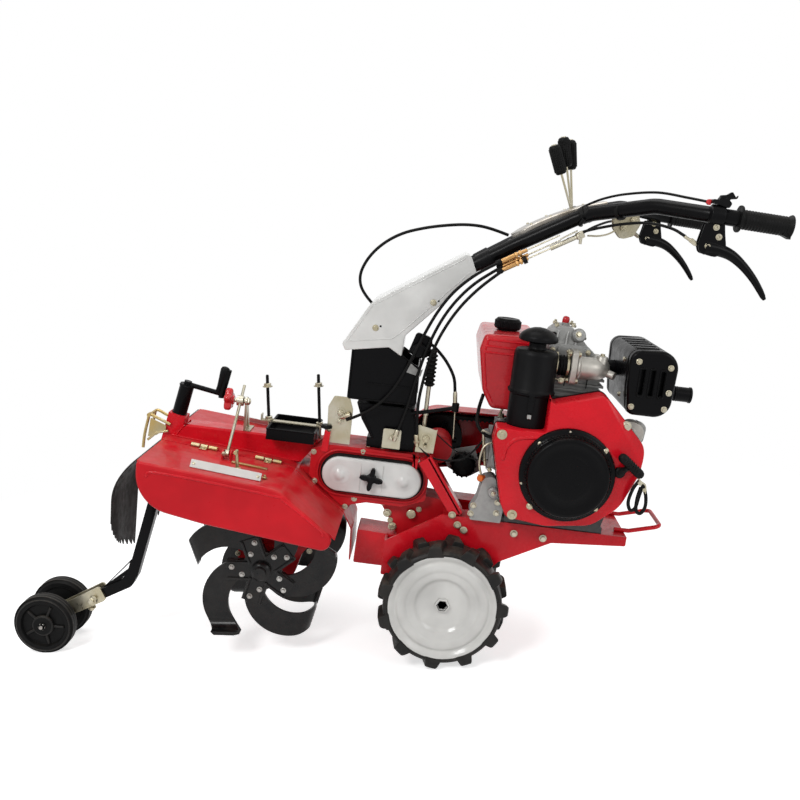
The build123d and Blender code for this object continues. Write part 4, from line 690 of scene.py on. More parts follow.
def add_rim(name, side):
    """A pressed and painted disc: outer lip, grooved ring, gentle dish and a sunk middle, with the hexagon bore."""
    shape = Shape()
    place = Matrix.Translation((0, side * WHEEL_Y, 0)) @ (ACROSS if side == FAR else ACROSS @ Matrix.Rotation(math.pi,
                                                                                                              4, "X"))
    face = [(124, 40.5), (122.5, 42.4), (120, 41.4), (113, 36.0), (110.5, 33.2), (108, 32.4), (105.5, 33.0),
            (103.5, 35.2), (100, 36.2), (93, 36.1), (87, 35.2), (84.5, 33.6), (82.5, 32.2), (79, 31.6), (72, 30.4),
            (67, 29.2), (64, 27.4), (60.5, 23.6), (57, 21.2), (52, 20.3), (30, 20.2), (11.6, 20.2)]
    back = [(11.6, 16.4), (52, 16.4), (60, 19.5), (64, 23), (68, 25.4), (80, 28), (86, 31), (100, 32.2), (105, 30),
            (108, 28.8), (112, 31), (112, -31), (116, -31.6), (116, 30), (119.5, 37.5), (124, 40.5)]
    shape.turned(face + back, place, 112)
    shape.turned([(11.6, 20.5), (11.6, 26.4), (15.6, 27.6), (17.6, 26.4), (18, 20.5)], place, 6)
    shape.turned([(10.6, -90), (24, -90), (24, 18), (10.6, 18), (10.6, -90)], place, 48)
    shape.rod((0, side * (WHEEL_Y - 80), 0), (0, side * (WHEEL_Y - 128), 0), 12.5, 28)
    shape.done("rim_" + name, "rim_paint", "wheel_" + name, ["drive_rim_" + name], bevel=0.5, angle=40,
               slot="white_paint")
    bore = Shape()
    bore.turned([(13.28, 14), (13.28, 27.8), (12.2, 27.8), (12.2, 15), (0, 15)], place, 6)
    bore.done("bore_" + name, "black_paint", "wheel_" + name)


def add_wheels():
    for name, side in both_sides():
        add_tyre(name, side)
        add_rim(name, side)


# Gear cases

CASE_FACE = -60.0
LEG_FACE = -38.0
COVER_LEFT, COVER_RIGHT, COVER_HIGH, COVER_RADIUS = -272.0, -122.0, 250.0, 42.0


def oval(grow, lift=0.0):
    """The gear cover's outline, grown evenly."""
    radius = COVER_RADIUS + grow
    return rounded([(COVER_LEFT - radius, COVER_HIGH - radius + lift, radius * 0.98),
                    (COVER_RIGHT + radius, COVER_HIGH - radius + lift, radius * 0.98),
                    (COVER_RIGHT + radius, COVER_HIGH + radius + lift, radius * 0.98),
                    (COVER_LEFT - radius, COVER_HIGH + radius + lift, radius * 0.98)], steps=14)


def add_gear_cover():
    """The white window cover: a crowned face with two domes and two fold lines, on a black rubber band."""
    face = CASE_FACE - 18
    shape = Shape()
    rings = []
    for grow, y in ((-0.5, CASE_FACE - 0.5), (-0.5, face + 5), (-1.6, face + 2), (-4, face + 0.3), (-8, face)):
        rings.append([Vector((x, y, z)) for x, z in oval(grow)])
    shape._rings(rings, closed_ends=True)
    for x in (COVER_LEFT, COVER_RIGHT):
        dome = facing((x, face, COVER_HIGH), TO_NEAR)
        shape.turned([(24, -0.5), (20, 0.7), (16, 1.6), (12.5, 3.2), (9, 5.6), (5, 7.4), (2, 7.9), (0, 8)], dome, 40)
    for x in (-223, -171):
        shape.tube([(x, face - 0.1, COVER_HIGH - 32), (x, face - 0.1, COVER_HIGH + 32)], 0.9, 8)
    shape.done("window_cover", "white_paint", "chassis", ["gear_cover"], angle=50)
    band = Shape()
    band._rings([[Vector((x, y, z)) for x, z in oval(grow, 1.0)]
                 for grow, y in ((1.5, CASE_FACE), (4.2, CASE_FACE), (4.6, CASE_FACE - 6), (3.4, CASE_FACE - 11),
                                 (0.4, CASE_FACE - 12), (0.4, CASE_FACE - 2))], closed_ends=False)
    band.done("cover_band", "rubber", "chassis", angle=60)


def add_cover_knob():
    """A four lobed knob with waisted arms."""
    middle, face = (COVER_LEFT + COVER_RIGHT) / 2, CASE_FACE - 18
    outline = []
    tilt = math.radians(8)
    for angle in turns(48, tilt):
        lobe = abs(math.cos(2 * (angle - tilt))) ** 3.2
        radius = 9.5 + 18.5 * (lobe if math.cos(4 * (angle - tilt)) > -0.2 else 0)
        outline.append((middle + radius * math.cos(angle), COVER_HIGH - radius * math.sin(angle)))
    shape = Shape()
    shape.slab(outline, face - 17, face - 4)
    shape.turned([(12, 0), (12, 5), (10, 16), (7, 18.5), (0, 19)], facing((middle, face, COVER_HIGH), TO_NEAR), 28)
    shape.done("window_knob", "black_plastic", "chassis", ["cover_knob"], bevel=1.6, angle=30, segments=3)


CASE_BOLTS = [(-339, 292), (-373, 237), (-330, 222), (-253, 168), (-233, 190), (-96, 300), (-224, 306)]
ROTOR_LEG_BOLTS = [(-489, 67), (-501, 9), (-466, -53), (-394, -57), (-328, 37), (-431, 78), (-356, 110), (-300, 196)]
WHEEL_LEG_BOLTS = [(-165, 186), (-143, 141), (-119, 94), (-78, 176), (18, 150), (-84, 40)]


def add_case_details():
    """Socket bolts along the case edges, the gasket seams, the filler plug and the ridge of the upper case."""
    bolts = Shape()
    for side in (NEAR, FAR):
        for x, z in CASE_BOLTS:
            bolts.socket_bolt((x, side * -CASE_FACE, z), (0, side, 0), 4.6, 5.5)
        for x, z in ROTOR_LEG_BOLTS + WHEEL_LEG_BOLTS:
            bolts.socket_bolt((x, side * -LEG_FACE, z), (0, side, 0), 4.6, 5.5)
        for x in (-180, -214):
            bolts.bolt((x, side * 34, 314), UPWARD, 5.5, 4.5)
    bolts.done("case_bolts", "zinc", "chassis", angle=28)
    plug = Shape()
    plug.turned([(11, 0), (11, 3), (9, 4.5), (9, 2.6), (0, 2.6)], facing((-95, LEG_FACE - 8, 165), TO_NEAR), 28)
    plug.bolt((-150, 0, 313.5), UPWARD, 11, 9)
    plug.done("filler_plugs", "zinc", "chassis", angle=28)
    seam = Shape()
    rim = oval(12)
    seam.tube([(x, CASE_FACE - 1.2, z) for x, z in rim + rim[:1]], 3.4, 10)
    seam.done("case_rim", "red_casting", "chassis", angle=60)
    for name, outline in (("rotor", [(-372, 246), (-502, 14), (-494, -46), (-430, -72), (-366, -46), (-345, 30),
                                     (-250, 190)]),
                          ("wheel", [(-172, 184), (-112, 92), (-54, 10), (-32, -46), (32, -46), (50, 30), (8, 204)])):
        gasket = Shape()
        line = arc_line([(x, 0, z) for x, z in outline], 34)
        gasket.tube(line, 1.1, 6)
        gasket.done("leg_gasket_" + name, "cast_alloy", "chassis", angle=60)


# Beam, tray and stay

STAY_X, CLAMP_Y, CLAMP_Z = -527.0, -24.0, 384.0
BEAM_TOP = 312.0
TRAY_LEFT, TRAY_RIGHT, TRAY_HALF, TRAY_RIM = -452.0, -340.0, 76.0, 26.0
ROD_SLOPE = math.tan(math.radians(7))


def add_beam_details():
    """The threads and nuts of the clamp rods, the tray's rolled rim and pads, and the weld beads of the beam."""
    rods, nuts = Shape(), Shape()
    for x, top in ((TRAY_LEFT - 5, 447), (TRAY_RIGHT + 6, 463)):
        along = Vector((-ROD_SLOPE, 0, 1)).normalized()
        foot = Vector((x, 0, BEAM_TOP))
        length = (top - BEAM_TOP) / along.z
        rods.turned([(3.6, 30), (3.6, length), (2.6, length + 2), (0, length + 2)], facing(foot, along), 16)
        for index in range(int((length - 36) / 2.0)):
            ring = foot + along * (36 + 2.0 * index)
            rods.turned([(3.4, 0), (4.1, 1), (3.4, 2)], facing(ring, along), 12)
        for reach in (TRAY_RIM + 3.2, length - 27):
            nuts.turned([(12, 0), (12, 1.6), (0, 1.6)], facing(foot + along * reach, along), 24)
            nuts.nut(foot + along * (reach + 1.6), along, 9, 7, 0.5)
    rods.done("clamp_rod_threads", "black_paint", "chassis", angle=50)
    nuts.done("clamp_rod_nuts", "zinc", "chassis", angle=28)
    lip = Shape()
    high = BEAM_TOP + TRAY_RIM
    corners = [(TRAY_LEFT, -TRAY_HALF, high), (TRAY_RIGHT, -TRAY_HALF, high), (TRAY_RIGHT, TRAY_HALF, high),
               (TRAY_LEFT, TRAY_HALF, high), (TRAY_LEFT, 1 - TRAY_HALF, high)]
    lip.tube(arc_line(corners, 5), 1.8, 8)
    lip.done("tray_lip", "black_paint", "chassis", angle=60)
    weld = Shape()
    for side in (NEAR, FAR):
        line = [(x, side * 30.5, hood_z(x) + 1.5) for x in (-684, -600, -500, -400, -374)]
        weld.bent(line, 8, 2.2, 8)
        socket = [(-655.5, side * 30, 309), (-674, side * 30.2, 283)]
        weld.bent(socket, 8, 2.0, 8)
    weld.done("beam_welds", "red_paint", "chassis", angle=60)


def add_star_knob():
    """The five lobed knob of the stay clamp, on its stud."""
    shape = Shape()
    outline = []
    for angle in turns(80):
        radius = 22.5 + 5 * math.cos(5 * (angle - math.radians(18)))
        outline.append((radius * math.cos(angle), radius * math.sin(angle)))
    middle = Vector((STAY_X - 28, CLAMP_Y, CLAMP_Z))
    rings = []
    for size, x in ((0.80, 8.5), (0.93, 7), (1, 4), (1, -4), (0.93, -7), (0.80, -8.5), (0.45, -9.6)):
        rings.append([middle + Vector((x, size * a, size * b)) for a, b in outline])
    shape._rings(rings)
    shape.rod(middle + Vector((7, 0, 0)), middle + Vector((13, 0, 0)), 12, 28, 10)
    shape.done("star_knob_grip", "red_plastic", "rod_clamp", angle=50)
    stud = Shape()
    stud.rod((STAY_X - 26, CLAMP_Y, CLAMP_Z), (STAY_X + 22, CLAMP_Y, CLAMP_Z), 5, 20)
    stud.turned([(12, -8), (12, 7), (10, 8.5), (5, 8.5)], facing((STAY_X, CLAMP_Y, CLAMP_Z), (1, 0, 0)), 28)
    stud.nut((STAY_X + 17.2, CLAMP_Y, CLAMP_Z), (1, 0, 0), 9, 5, 2)
    stud.done("clamp_stud", "zinc", "rod_clamp", ["star_knob"], angle=40)


# Hood

HOOD_Y = 272.0
HOOD_LEFT, HOOD_TOP, HOOD_LENGTH, HOOD_FALL = -692, 282, 307, 26
HOOD_SLOPE = math.atan2(HOOD_FALL, HOOD_LENGTH)


def hood_z(x):
    """The height of the hood's top over its length."""
    return HOOD_TOP - HOOD_FALL * (x - HOOD_LEFT) / HOOD_LENGTH


def add_hood_details():
    """The reflector strip, the pressed crease, the hinge screws and the rolled edges of the wings."""
    for name, side in both_sides():
        body = "wing_" + name
        crease = Shape()
        line = smooth_line([(-668, 250), (-640, 262), (-400, 243), (-366, 232), (-288, 180), (-278, 165)], 5)
        crease.tube([(x, side * (HOOD_Y - 0.6), z) for x, z in line], 3.2, 12)
        crease.done("wing_crease_" + name, "red_paint", body, angle=60)
        strip = Shape()
        rows = []
        for x in (-584, -428):
            base = hood_z(x)
            rows.append([Vector((x, side * y, base + lift)) for y,
                         lift in ((238, 0.5), (240, 1.5), (226, 15.5), (224, 14.5))])
        strip._rings(rows)
        strip.done("reflector_" + name, "reflector", body, bevel=0.5)
        screws = Shape()
        for x in (-577, -435):
            screws.turned([(3.6, 0), (3.2, 1.2), (1.6, 1.8), (0, 1.8)],
                          facing((x, side * 233, hood_z(x) + 8.5), (0, side, 1)), 16)
        screws.done("wing_screws_" + name, "zinc", body, angle=50)


# Engine

CRANK_X, CRANK_Z = 230.0, 346.0
SHROUD_FACE = -192.0
SHROUD_OUTLINE = [(66, 432, 6), (172, 434, 5), (172, 527, 14), (291, 527, 24), (392, 424, 36), (388, 366, 60),
                  (356, 285, 80), (300, 236, 60), (200, 222, 60), (112, 232, 14), (96, 262, 20), (62, 398, 12)]


def add_fan_shroud():
    """The red fan housing: a rounded panel with a planed shoulder, an embossed bead, three bolts and a rear band."""
    shape = Shape()
    outline = rounded(SHROUD_OUTLINE, 9)
    shape.pressed(outline, [(0, -128), (0, -184), (-0.8, -188.5), (-2.2, -191.2), (-4.2, SHROUD_FACE)])
    shape.planed((320, SHROUD_FACE, 480), (0.57, -1, 0.41))
    bead = smooth_line([(88, 0, 362), (94, 0, 392), (112, 0, 411), (140, 0, 418), (166, 0, 419)], 6)
    shape.tube([(p.x, SHROUD_FACE + 1.5, p.z) for p in bead], 4.2, 12)
    shape.done("fan_housing", "red_paint", "chassis", ["fan_shroud"], angle=24)
    band = Shape()
    band.pressed(outline, [(1.6, -127), (1.6, -134), (-1, -134.5)])
    band.done("fan_housing_band", "black_paint", "chassis", angle=30)
    bolts = Shape()
    for x, z, y in ((79, 418, SHROUD_FACE), (342, 468, -184.4), (125, 241, SHROUD_FACE)):
        bolts.turned([(11, 0), (11, 1.2), (0, 1.2)], facing((x, y, z), TO_NEAR), 28)
        bolts.bolt((x, y - 1, z), TO_NEAR, 6, 4.5)
    bolts.done("fan_housing_bolts", "zinc", "chassis", angle=28)


def add_recoil():
    """The recoil starter: a black flange, a slotted cone, a shallow dished disc and the screws round it."""
    face = facing((CRANK_X, SHROUD_FACE, CRANK_Z), TO_NEAR)
    shape = Shape()
    shape.turned([(104, 0), (104.5, 6), (103, 9.5), (99, 11.5), (95.5, 12), (93.5, 13.5), (88.5, 31), (87, 34.2),
                  (84, 35.8), (79, 36), (75, 35), (70, 33.8), (52, 33.2), (50, 34.2), (46, 34.6), (30, 34.4),
                  (0, 34.2)], face, 120)
    for angle in turns(78):
        spoke = Vector((math.cos(angle), math.sin(angle), 0))
        shape.rod(face @ (spoke * 94.8 + Vector((0, 0, 13))), face @ (spoke * 90.0 + Vector((0, 0, 29))), 1.3, 6)
    for radius, height in ((93.6, 17.5), (91.8, 24)):
        shape.turned([(radius, height - 1.2), (radius + 1.6, height), (radius, height + 1.2),
                      (radius - 1.6, height), (radius, height - 1.2)], face, 120)
    shape.done("recoil_housing", "black_paint", "chassis", ["recoil_cover"], angle=38)
    screws = Shape()
    for x, z, size in ((162, 410, 6), (303, 411, 6), (160, 268, 6), (301, 281, 6), (134, 318, 3), (222, 444, 3)):
        place = facing((x, SHROUD_FACE - 8, z), TO_NEAR)
        screws.turned([(size, 0), (size, 3), (size * 0.8, 4.4), (size * 0.4, 5), (0, 5)], place, 20)
        screws.turned([(size * 1.3, 0), (size * 1.3, 1.2), (0, 1.2)], place, 24)
    screws.done("recoil_screws", "zinc", "chassis", angle=40)
    grip = Shape()
    bar_low, bar_high = Vector((341, -212, 403)), Vector((380, -212, 373))
    along = (bar_high - bar_low).length
    grip.turned([(0, -10.5), (5, -9.6), (8.6, -6.4), (10.2, -2), (10.6, 3), (9.7, along / 2 - 8), (9.7, along / 2 + 8),
                 (10.6, along - 3), (10.2, along + 2), (8.6, along + 6.4), (5, along + 9.6), (0, along + 10.5)],
                facing(bar_low, bar_high - bar_low), 36)
    for index in range(7):
        share = (index + 1.0) / 8
        spot = bar_low.lerp(bar_high, share)
        grip.turned([(9.4, -1.4), (11.1, 0), (9.4, 1.4)], facing(spot, bar_high - bar_low), 36)
    neck = Vector((342, -195, 366)) - Vector((360, -212, 388))
    grip.turned([(5.4, 0), (6.5, 5), (5.6, 8), (6.9, 13), (6, 16), (7.6, 22), (9.4, neck.length - 3),
                 (9.4, neck.length)], facing((360, -212, 388), neck), 28)
    grip.turned([(12, 0), (12, 5), (10, 8), (7, 9), (0, 9)], facing((342, SHROUD_FACE, 366), TO_NEAR), 32)
    grip.done("recoil_grip", "rubber", "chassis", ["pull_handle"], angle=44)
    loop = Shape()
    for route in ([(384, -205, 356), (374, -204, 336), (369, -203, 306), (376, -203, 288), (386, -203, 294),
                   (390, -203, 322), (394, -204, 346)],
                  [(392, -206, 350), (403, -206, 326), (406, -206, 300), (398, -206, 284), (388, -206, 290),
                   (386, -206, 316), (390, -205, 342)]):
        loop.bent(route, 7, 3.9, 12)
    loop.done("recoil_rope_loop", "rubber", "chassis", angle=60)
    clip = Shape()
    clip.bent([(376, -208, 368), (386, -207, 356), (398, -206, 348), (401, -206, 330)], 5, 4.6, 10, 0.5)
    clip.rod((386, -211, 352), (386, -200, 352), 5.5, 6)
    clip.rod((398, -210, 338), (398, -201, 338), 4.5, 18)
    clip.done("recoil_clip", "zinc", "chassis", angle=30)


INTAKE_Y, INTAKE_Z = -104, 571


def add_air_filter():
    """The air cleaner: two black canisters, a band, a saucer cap, a sheet clip and its ribbed duct."""
    shape = Shape()
    place = Matrix.Translation((135, -128, 0))
    shape.turned([(0, 424), (36, 424), (42, 426), (45.4, 431), (46, 437), (46.4, 503), (49, 504.5), (51.4, 507),
                  (51.4, 513), (49.6, 515.6), (48.4, 518), (48.4, 592), (47, 598), (43.5, 602.4), (38, 603.6),
                  (36.4, 602.4), (24, 602.6), (20.5, 605), (18.8, 610), (18.8, 617), (24, 619.6), (39, 621),
                  (42.4, 623.4), (43, 628), (41.4, 633), (36, 639.4), (27, 645.6), (14, 650.4), (0, 652.4)], place, 96)
    shape.done("air_cleaner", "black_plastic", "chassis", ["air_filter"], angle=34)
    ring = Shape()
    ring.turned([(51.2, 509), (52.4, 510), (52.4, 512), (51.2, 513), (51.2, 509)], place, 96)
    ring.box(127, 139, -179.8, -176.4, 470, 512)
    ring.box(128, 138, -177.5, -173.5, 455, 466)
    ring.box(129.5, 136.5, -181, -178, 496, 506)
    ring.done("air_cleaner_band", "black_plastic", "chassis", bevel=0.8)
    catch = Shape()
    catch.box(128.5, 137.5, -178.6, -176, 456, 465)
    catch.done("air_cleaner_catch", "cast_alloy", "chassis", bevel=0.8)
    duct = Shape()
    profile = [(20, 0), (20, 4)]
    for index in range(4):
        profile += [(20, 7 + 7 * index), (22.8, 9 + 7 * index), (22.8, 10.6 + 7 * index), (20, 12.6 + 7 * index)]
    duct.turned(profile + [(20, 40)], facing((176, INTAKE_Y, INTAKE_Z), (1, 0, 0)), 48)
    duct.done("filter_duct", "rubber", "chassis", ["intake_elbow"], angle=40)
    clamps = Shape()
    for x in (180, 206):
        clamps.turned([(22.8, 0), (23.8, 0.4), (23.8, 5.6), (22.8, 6), (22.8, 0)],
                      facing((x, INTAKE_Y, INTAKE_Z), (1, 0, 0)), 48)
        clamps.rod((x + 3, -112, 596), (x + 3, -92, 596), 3.4, 12)
        clamps.box(x, x + 6, -108, -104, 592, 600)
    clamps.tube([(182, -128, 544), (196, -130, 540), (204, -128, 548)], 3.2, 10, 0.5)
    clamps.bolt((196, -131, 541), TO_NEAR, 5, 4)
    clamps.done("duct_clamps", "zinc", "chassis", bevel=0.4)


def add_elbow():
    """The cast intake elbow behind its bolted flange."""
    shape = Shape()
    line = arc_line([(226, INTAKE_Y, INTAKE_Z), (283, INTAKE_Y, INTAKE_Z), (283, -30, 571)], 28, 12)
    shape.tube(line, [25.0] * len(line), 48)
    shape.turned([(29, 0), (29, 3), (26, 7), (24, 8)], facing((229, INTAKE_Y, INTAKE_Z), (1, 0, 0)), 48)
    shape.turned([(13, 0), (13, 27), (11.5, 29.5), (8, 30.5), (0, 30.5)], facing((284, -100, 571), UPWARD), 32)
    shape.turned([(9, 0), (9, 30), (8, 32), (0, 32)], facing((290, -86, 566), (0.8, -0.6, -0.2)), 24)
    shape.done("elbow_casting", "smooth_alloy", "chassis", angle=40)
    plate = Shape()
    on_x = Matrix.Translation((221, INTAKE_Y, INTAKE_Z)) @ Matrix.Rotation(math.pi / 2, 4, "Z")
    outline = rounded([(-24, -38, 10), (24, -38, 10), (30, 0, 40), (24, 38, 10), (-24, 38, 10), (-30, 0, 40)], 6)
    plate.slab(outline, -6.5, 6.5, on_x)
    plate.done("intake_flange", "smooth_alloy", "chassis", bevel=1.2, segments=3)
    bolts = Shape()
    for y, z in ((-118, 601), (-90, 601), (-118, 541), (-90, 541)):
        bolts.nut((213, y, z), (-1, 0, 0), 6, 5, 3)
        bolts.bolt((228, y, z), (1, 0, 0), 5.5, 5)
    bolts.bolt((284, -100, 601), UPWARD, 5, 4)
    bolts.done("intake_bolts", "zinc", "chassis", angle=28)


def add_head_details():
    """Ribs, nuts and bolts of the cylinder head and its cover, the fuel pipe and the red lever."""
    casting = Shape()
    for x, low, high in ((192, 560, 606), (222, 560, 606), (252, 560, 600)):
        casting.box(x - 2.5, x + 2.5, -60, -55, low, high)
    for x in (186, 208, 230):
        casting.tube([(x, -43, 596), (x, -43, 626), (x + 4, -36, 644)], 3.2, 10)
    casting.plate([(170, 594, 4), (262, 594, 4), (268, 604, 6), (258, 612, 6), (176, 612, 6)], 5, -48, 54)
    for x, z in ((178, 598), (258, 600), (286, 566)):
        casting.turned([(9, 0), (9, 14), (7.6, 16), (0, 16)], facing((x, -42, z), TO_NEAR), 24)
    casting.turned([(16, 0), (16, 12), (13, 16), (0, 16)], facing((232, -36, 632), (0.25, -1, 0.3)), 36)
    casting.rod((206, 0, 640), (206, 0, 656), 8.5, 24)
    casting.done("head_casting", "cast_alloy", "chassis", bevel=1.2, angle=34)
    lines = Shape()
    for x in (212, 262):
        lines.box(x, x + 2, -73.5, -71, 520, 552)
    lines.box(176, 296, -73.5, -71, 553, 555)
    lines.done("head_seams", "black_paint", "chassis", bevel=0.3)
    nuts = Shape()
    for x, z in ((178, 598), (258, 600), (286, 566)):
        nuts.nut((x, -58, z), TO_NEAR, 6.5, 5.5, 3)
    for x, y, z in ((184, -26, 647), (222, -26, 650), (186, 30, 648), (224, 30, 649), (250, -20, 624)):
        nuts.nut((x, y, z), (0.12, 0, 1), 6, 6, 4)
    nuts.bolt((232, -50, 637), (0.25, -1, 0.3), 6, 4)
    nuts.bent([(86, -24, 418), (86, -30, 440), (112, -44, 470), (156, -62, 520), (168, -58, 570),
               (186, -50, 590)], 7, 3.2, 12)
    for spot, way in (((86, -25, 424), UPWARD), ((184, -52, 588), (0.6, 0.3, 0.7))):
        nuts.turned([(6.5, -6), (6.5, 6)], facing(spot, way), 6)
    nuts.done("head_nuts", "zinc", "chassis", angle=28)
    lever = Shape()
    lever.turned([(0, 0), (5, 0.5), (7.6, 4), (8.6, 10), (8.2, 15), (6.4, 18.4), (3, 20), (0, 20.2)],
                 facing((205, 0, 651), (0.12, 0, 1)), 28)
    lever.done("head_lever_knob", "red_plastic", "chassis", angle=50)


CAP_X, CAP_Y = 78, 40


def add_tank_details():
    """The pressed ridges round the tank, its seam, the knurled cap and the filler neck."""
    ridges = Shape()
    for z, x_left in ((589, 15.5), (575, 15), (604, 18)):
        ridges.tube([(x_left + 10, -63.6, z), (x_left + 14, -65, z), (144, -65, z)], 3.0, 12)
    ridges.tube(arc_line([(58, -65.2, 462), (40, -65.2, 492), (26, -65.2, 572), (32, -65.2, 606)], 12), 2.0, 10)
    ridges.done("tank_ridges", "red_paint", "chassis", angle=60)
    cap = Shape()
    place = Matrix.Translation((CAP_X, CAP_Y, 0))
    cap.turned([(24, 608), (24, 620), (29, 621.5), (30.4, 624), (30.4, 638), (29.4, 642), (25.5, 646), (18, 646.6),
                (15, 645.2), (0, 645)], place, 72)
    for angle in turns(44):
        x, y = CAP_X + 30.2 * math.cos(angle), CAP_Y + 30.2 * math.sin(angle)
        cap.rod((x, y, 625), (x, y, 640.5), 1.5, 6)
    cap.done("filler_cap", "black_plastic", "chassis", ["tank_cap"], angle=40)
    neck = Shape()
    neck.turned([(28, 608), (28, 614), (26, 617), (24, 617)], place, 48)
    neck.done("filler_neck", "red_paint", "chassis", angle=40)


GUARD_FACE = -152
OUTLET_Y, OUTLET_Z = -40, 528


def add_muffler_details():
    """The bolts, louvre lips, seam and ribbed outlet of the muffler's guard, and the sooty bands of its pipe."""
    lips = Shape()
    for index in range(3):
        x = 366.5 + 22 * index
        outline = rounded([(x - 7, 530, 6), (x + 7, 530, 6), (x + 7, 594, 6), (x - 7, 594, 6)], 4)
        lips.tube([(a, GUARD_FACE - 0.6, b) for a, b in outline + outline[:1]], 1.7, 8)
    edge = rounded([(336, 627, 24), (441, 634, 40), (436, 489, 38), (348, 489, 16), (340, 545, 20)], 6)
    for y in (-128, 84):
        lips.tube([(a, y, b) for a, b in grown(edge + edge[:1], 1.6)], 2.2, 8)
    for row in range(5):
        y = -112 + 38 * row
        lips.tube([(352, y - 2, 630.4), (402, y - 2, 633.6)], 1.6, 8)
    lips.done("guard_lips", "black_paint", "chassis", angle=50)
    bolts = Shape()
    for x, z in ((354, 606), (424, 600), (352, 506), (424, 508), (428, 545)):
        bolts.bolt((x, GUARD_FACE, z), TO_NEAR, 5, 4)
    for z in (520, 600):
        bolts.bolt((337, -90, z), (-1, 0, 0), 5, 4)
    bolts.done("guard_bolts", "zinc", "chassis", angle=28)
    pipe = Shape()
    for index in range(8):
        pipe.turned([(15, 0), (17.4, 1.2), (17.4, 2.8), (15, 4)],
                    facing((438 + 5 * index, OUTLET_Y, OUTLET_Z), (1, 0, 0)), 36)
    pipe.turned([(17.2, 0), (18.4, 1), (18.4, 5), (17.2, 6), (13, 6), (13, 0)],
                facing((502, OUTLET_Y, OUTLET_Z), (1, 0, 0)), 36)
    pipe.done("outlet_ribs", "black_plastic", "chassis", angle=40)
    damper = Shape()
    damper.turned([(30, 0), (30, 20), (27, 23), (12, 23), (10, 26), (0, 26)], facing((372, -86, 436), TO_NEAR), 48)
    damper.done("oil_filter", "smooth_alloy", "chassis", bevel=1)
    cover = Shape()
    cover.plate([(356, 408, 8), (404, 412, 14), (408, 458, 16), (366, 470, 14)], 5, -96, -84)
    cover.done("rear_bracket", "cast_alloy", "chassis", bevel=1.5)


def add_injection_details():
    """What shows left of the fan housing: governor arm, springs, pipes, studs and the engine's cast foot."""
    cast = Shape()
    cast.plate([(40, 191, 3), (110, 191, 3), (114, 236, 8), (100, 266, 10), (84, 300, 12), (58, 292, 10),
                (50, 244, 12), (36, 212, 8)], 5, -112, -64)
    cast.plate([(62, 300, 8), (108, 304, 8), (108, 396, 10), (66, 392, 10)], 5, -100, -66)
    cast.turned([(17, 0), (17, 10), (14, 13), (0, 13)], facing((84, -100, 336), TO_NEAR), 36)
    cast.turned([(13, 0), (13, 12), (10, 15), (0, 15)], facing((84, -112, 264), TO_NEAR), 36)
    cast.done("pump_casting", "cast_alloy", "chassis", bevel=1.6, angle=34, segments=3)
    zinc = Shape()
    for x, y, z in ((84, -113, 336), (84, -127, 264), (70, -100, 384), (100, -100, 384), (70, -100, 312)):
        zinc.nut((x, y, z), TO_NEAR, 6, 5, 4)
    for x, z in ((44, 226), (40, 206), (98, 214), (98, 240)):
        zinc.bolt((x, -112, z), TO_NEAR, 5.5, 5)
    zinc.bent([(72, -108, 380), (50, -112, 366), (44, -114, 330), (52, -114, 300)], 6, 2.6, 10)
    zinc.rod((44, -96, 402), (58, -112, 322), 3.2, 14)
    for index in range(16):
        zinc.turned([(3.2, 0), (4.6, 1), (3.2, 2)], facing((47.5 + 0.55 * index, -100.1 - 0.65 * index,
                                                            382 - 3.2 * index),
                                                          (0.17, -0.2, -1)), 12)
    zinc.plate([(40, 392, 4), (66, 396, 4), (68, 404, 4), (40, 404, 4)], 4, -106, -102)
    zinc.done("governor_links", "zinc", "chassis", angle=34)
    tip = Shape()
    tip.turned([(7, 0), (8, 3), (8, 12), (6.4, 15), (0, 15)], facing((54, -106, 292), (-0.3, -1, 0.1)), 24)
    tip.box(46, 62, -110, -100, 286, 298)
    tip.done("stop_button", "orange_plastic", "chassis", bevel=1.2)
    hose = Shape()
    hose.bent([(38, -30, 470), (30, -60, 440), (30, -88, 412), (48, -98, 392), (72, -100, 386)], 7, 4.2,
  14)
    hose.bent([(150, -40, 606), (164, -46, 622), (176, -40, 630), (186, -30, 632)], 7, 6, 16)
    hose.done("fuel_pipes", "rubber", "chassis", angle=60)


# Handlebar

TUBE_ROUTE = [(-75, 48, 730), (60, 60, 818), (200, 92, 902), (325, 189.75, 934), (440, 275, 926), (570, 275, 921)]
TUBE_RADIUS, TUBE_BEND = 16.0, 110.0
GRIP_SPAN = 275.0


def beside(points, side):
    return [(x, side * y, z) for x, y, z in points]


def add_handle_tubes():
    """Both tubes with their cross braces, drawn smooth, and the strap and end plugs on them."""
    shape = Shape()
    for side in (NEAR, FAR):
        shape.tube(arc_line(beside(TUBE_ROUTE, side), TUBE_BEND, 12), TUBE_RADIUS, 32)
    for x, half, z in ((60, 46, 818), (200, 78, 902)):
        shape.rod((x, -half, z), (x, half, z), 12, 28)
    shape.rod((-75, -44, 730), (-75, 44, 730), 14, 28)
    shape.done("handle_frame", "black_paint", "handlebar", ["handle_tubes"], angle=50)
    strap = Shape()
    for side in (NEAR, FAR):
        for x, y, z in ((196, 91, 899.6), (205, 95, 903.5)):
            strap.turned([(17, -5), (18.6, -4), (18.6, 4), (17, 5)],
                         facing((x, side * y, z), (0.85, side * 0.28, 0.45)), 32)
        strap.tube([(262, side * 138, 915), (268, side * 144, 917)], 18.4, 24)
    strap.bent([(196, -112, 892), (190, -106, 880), (196, -84, 879)], 5, 4, 10)
    strap.done("handle_straps", "rubber", "handlebar", angle=40)


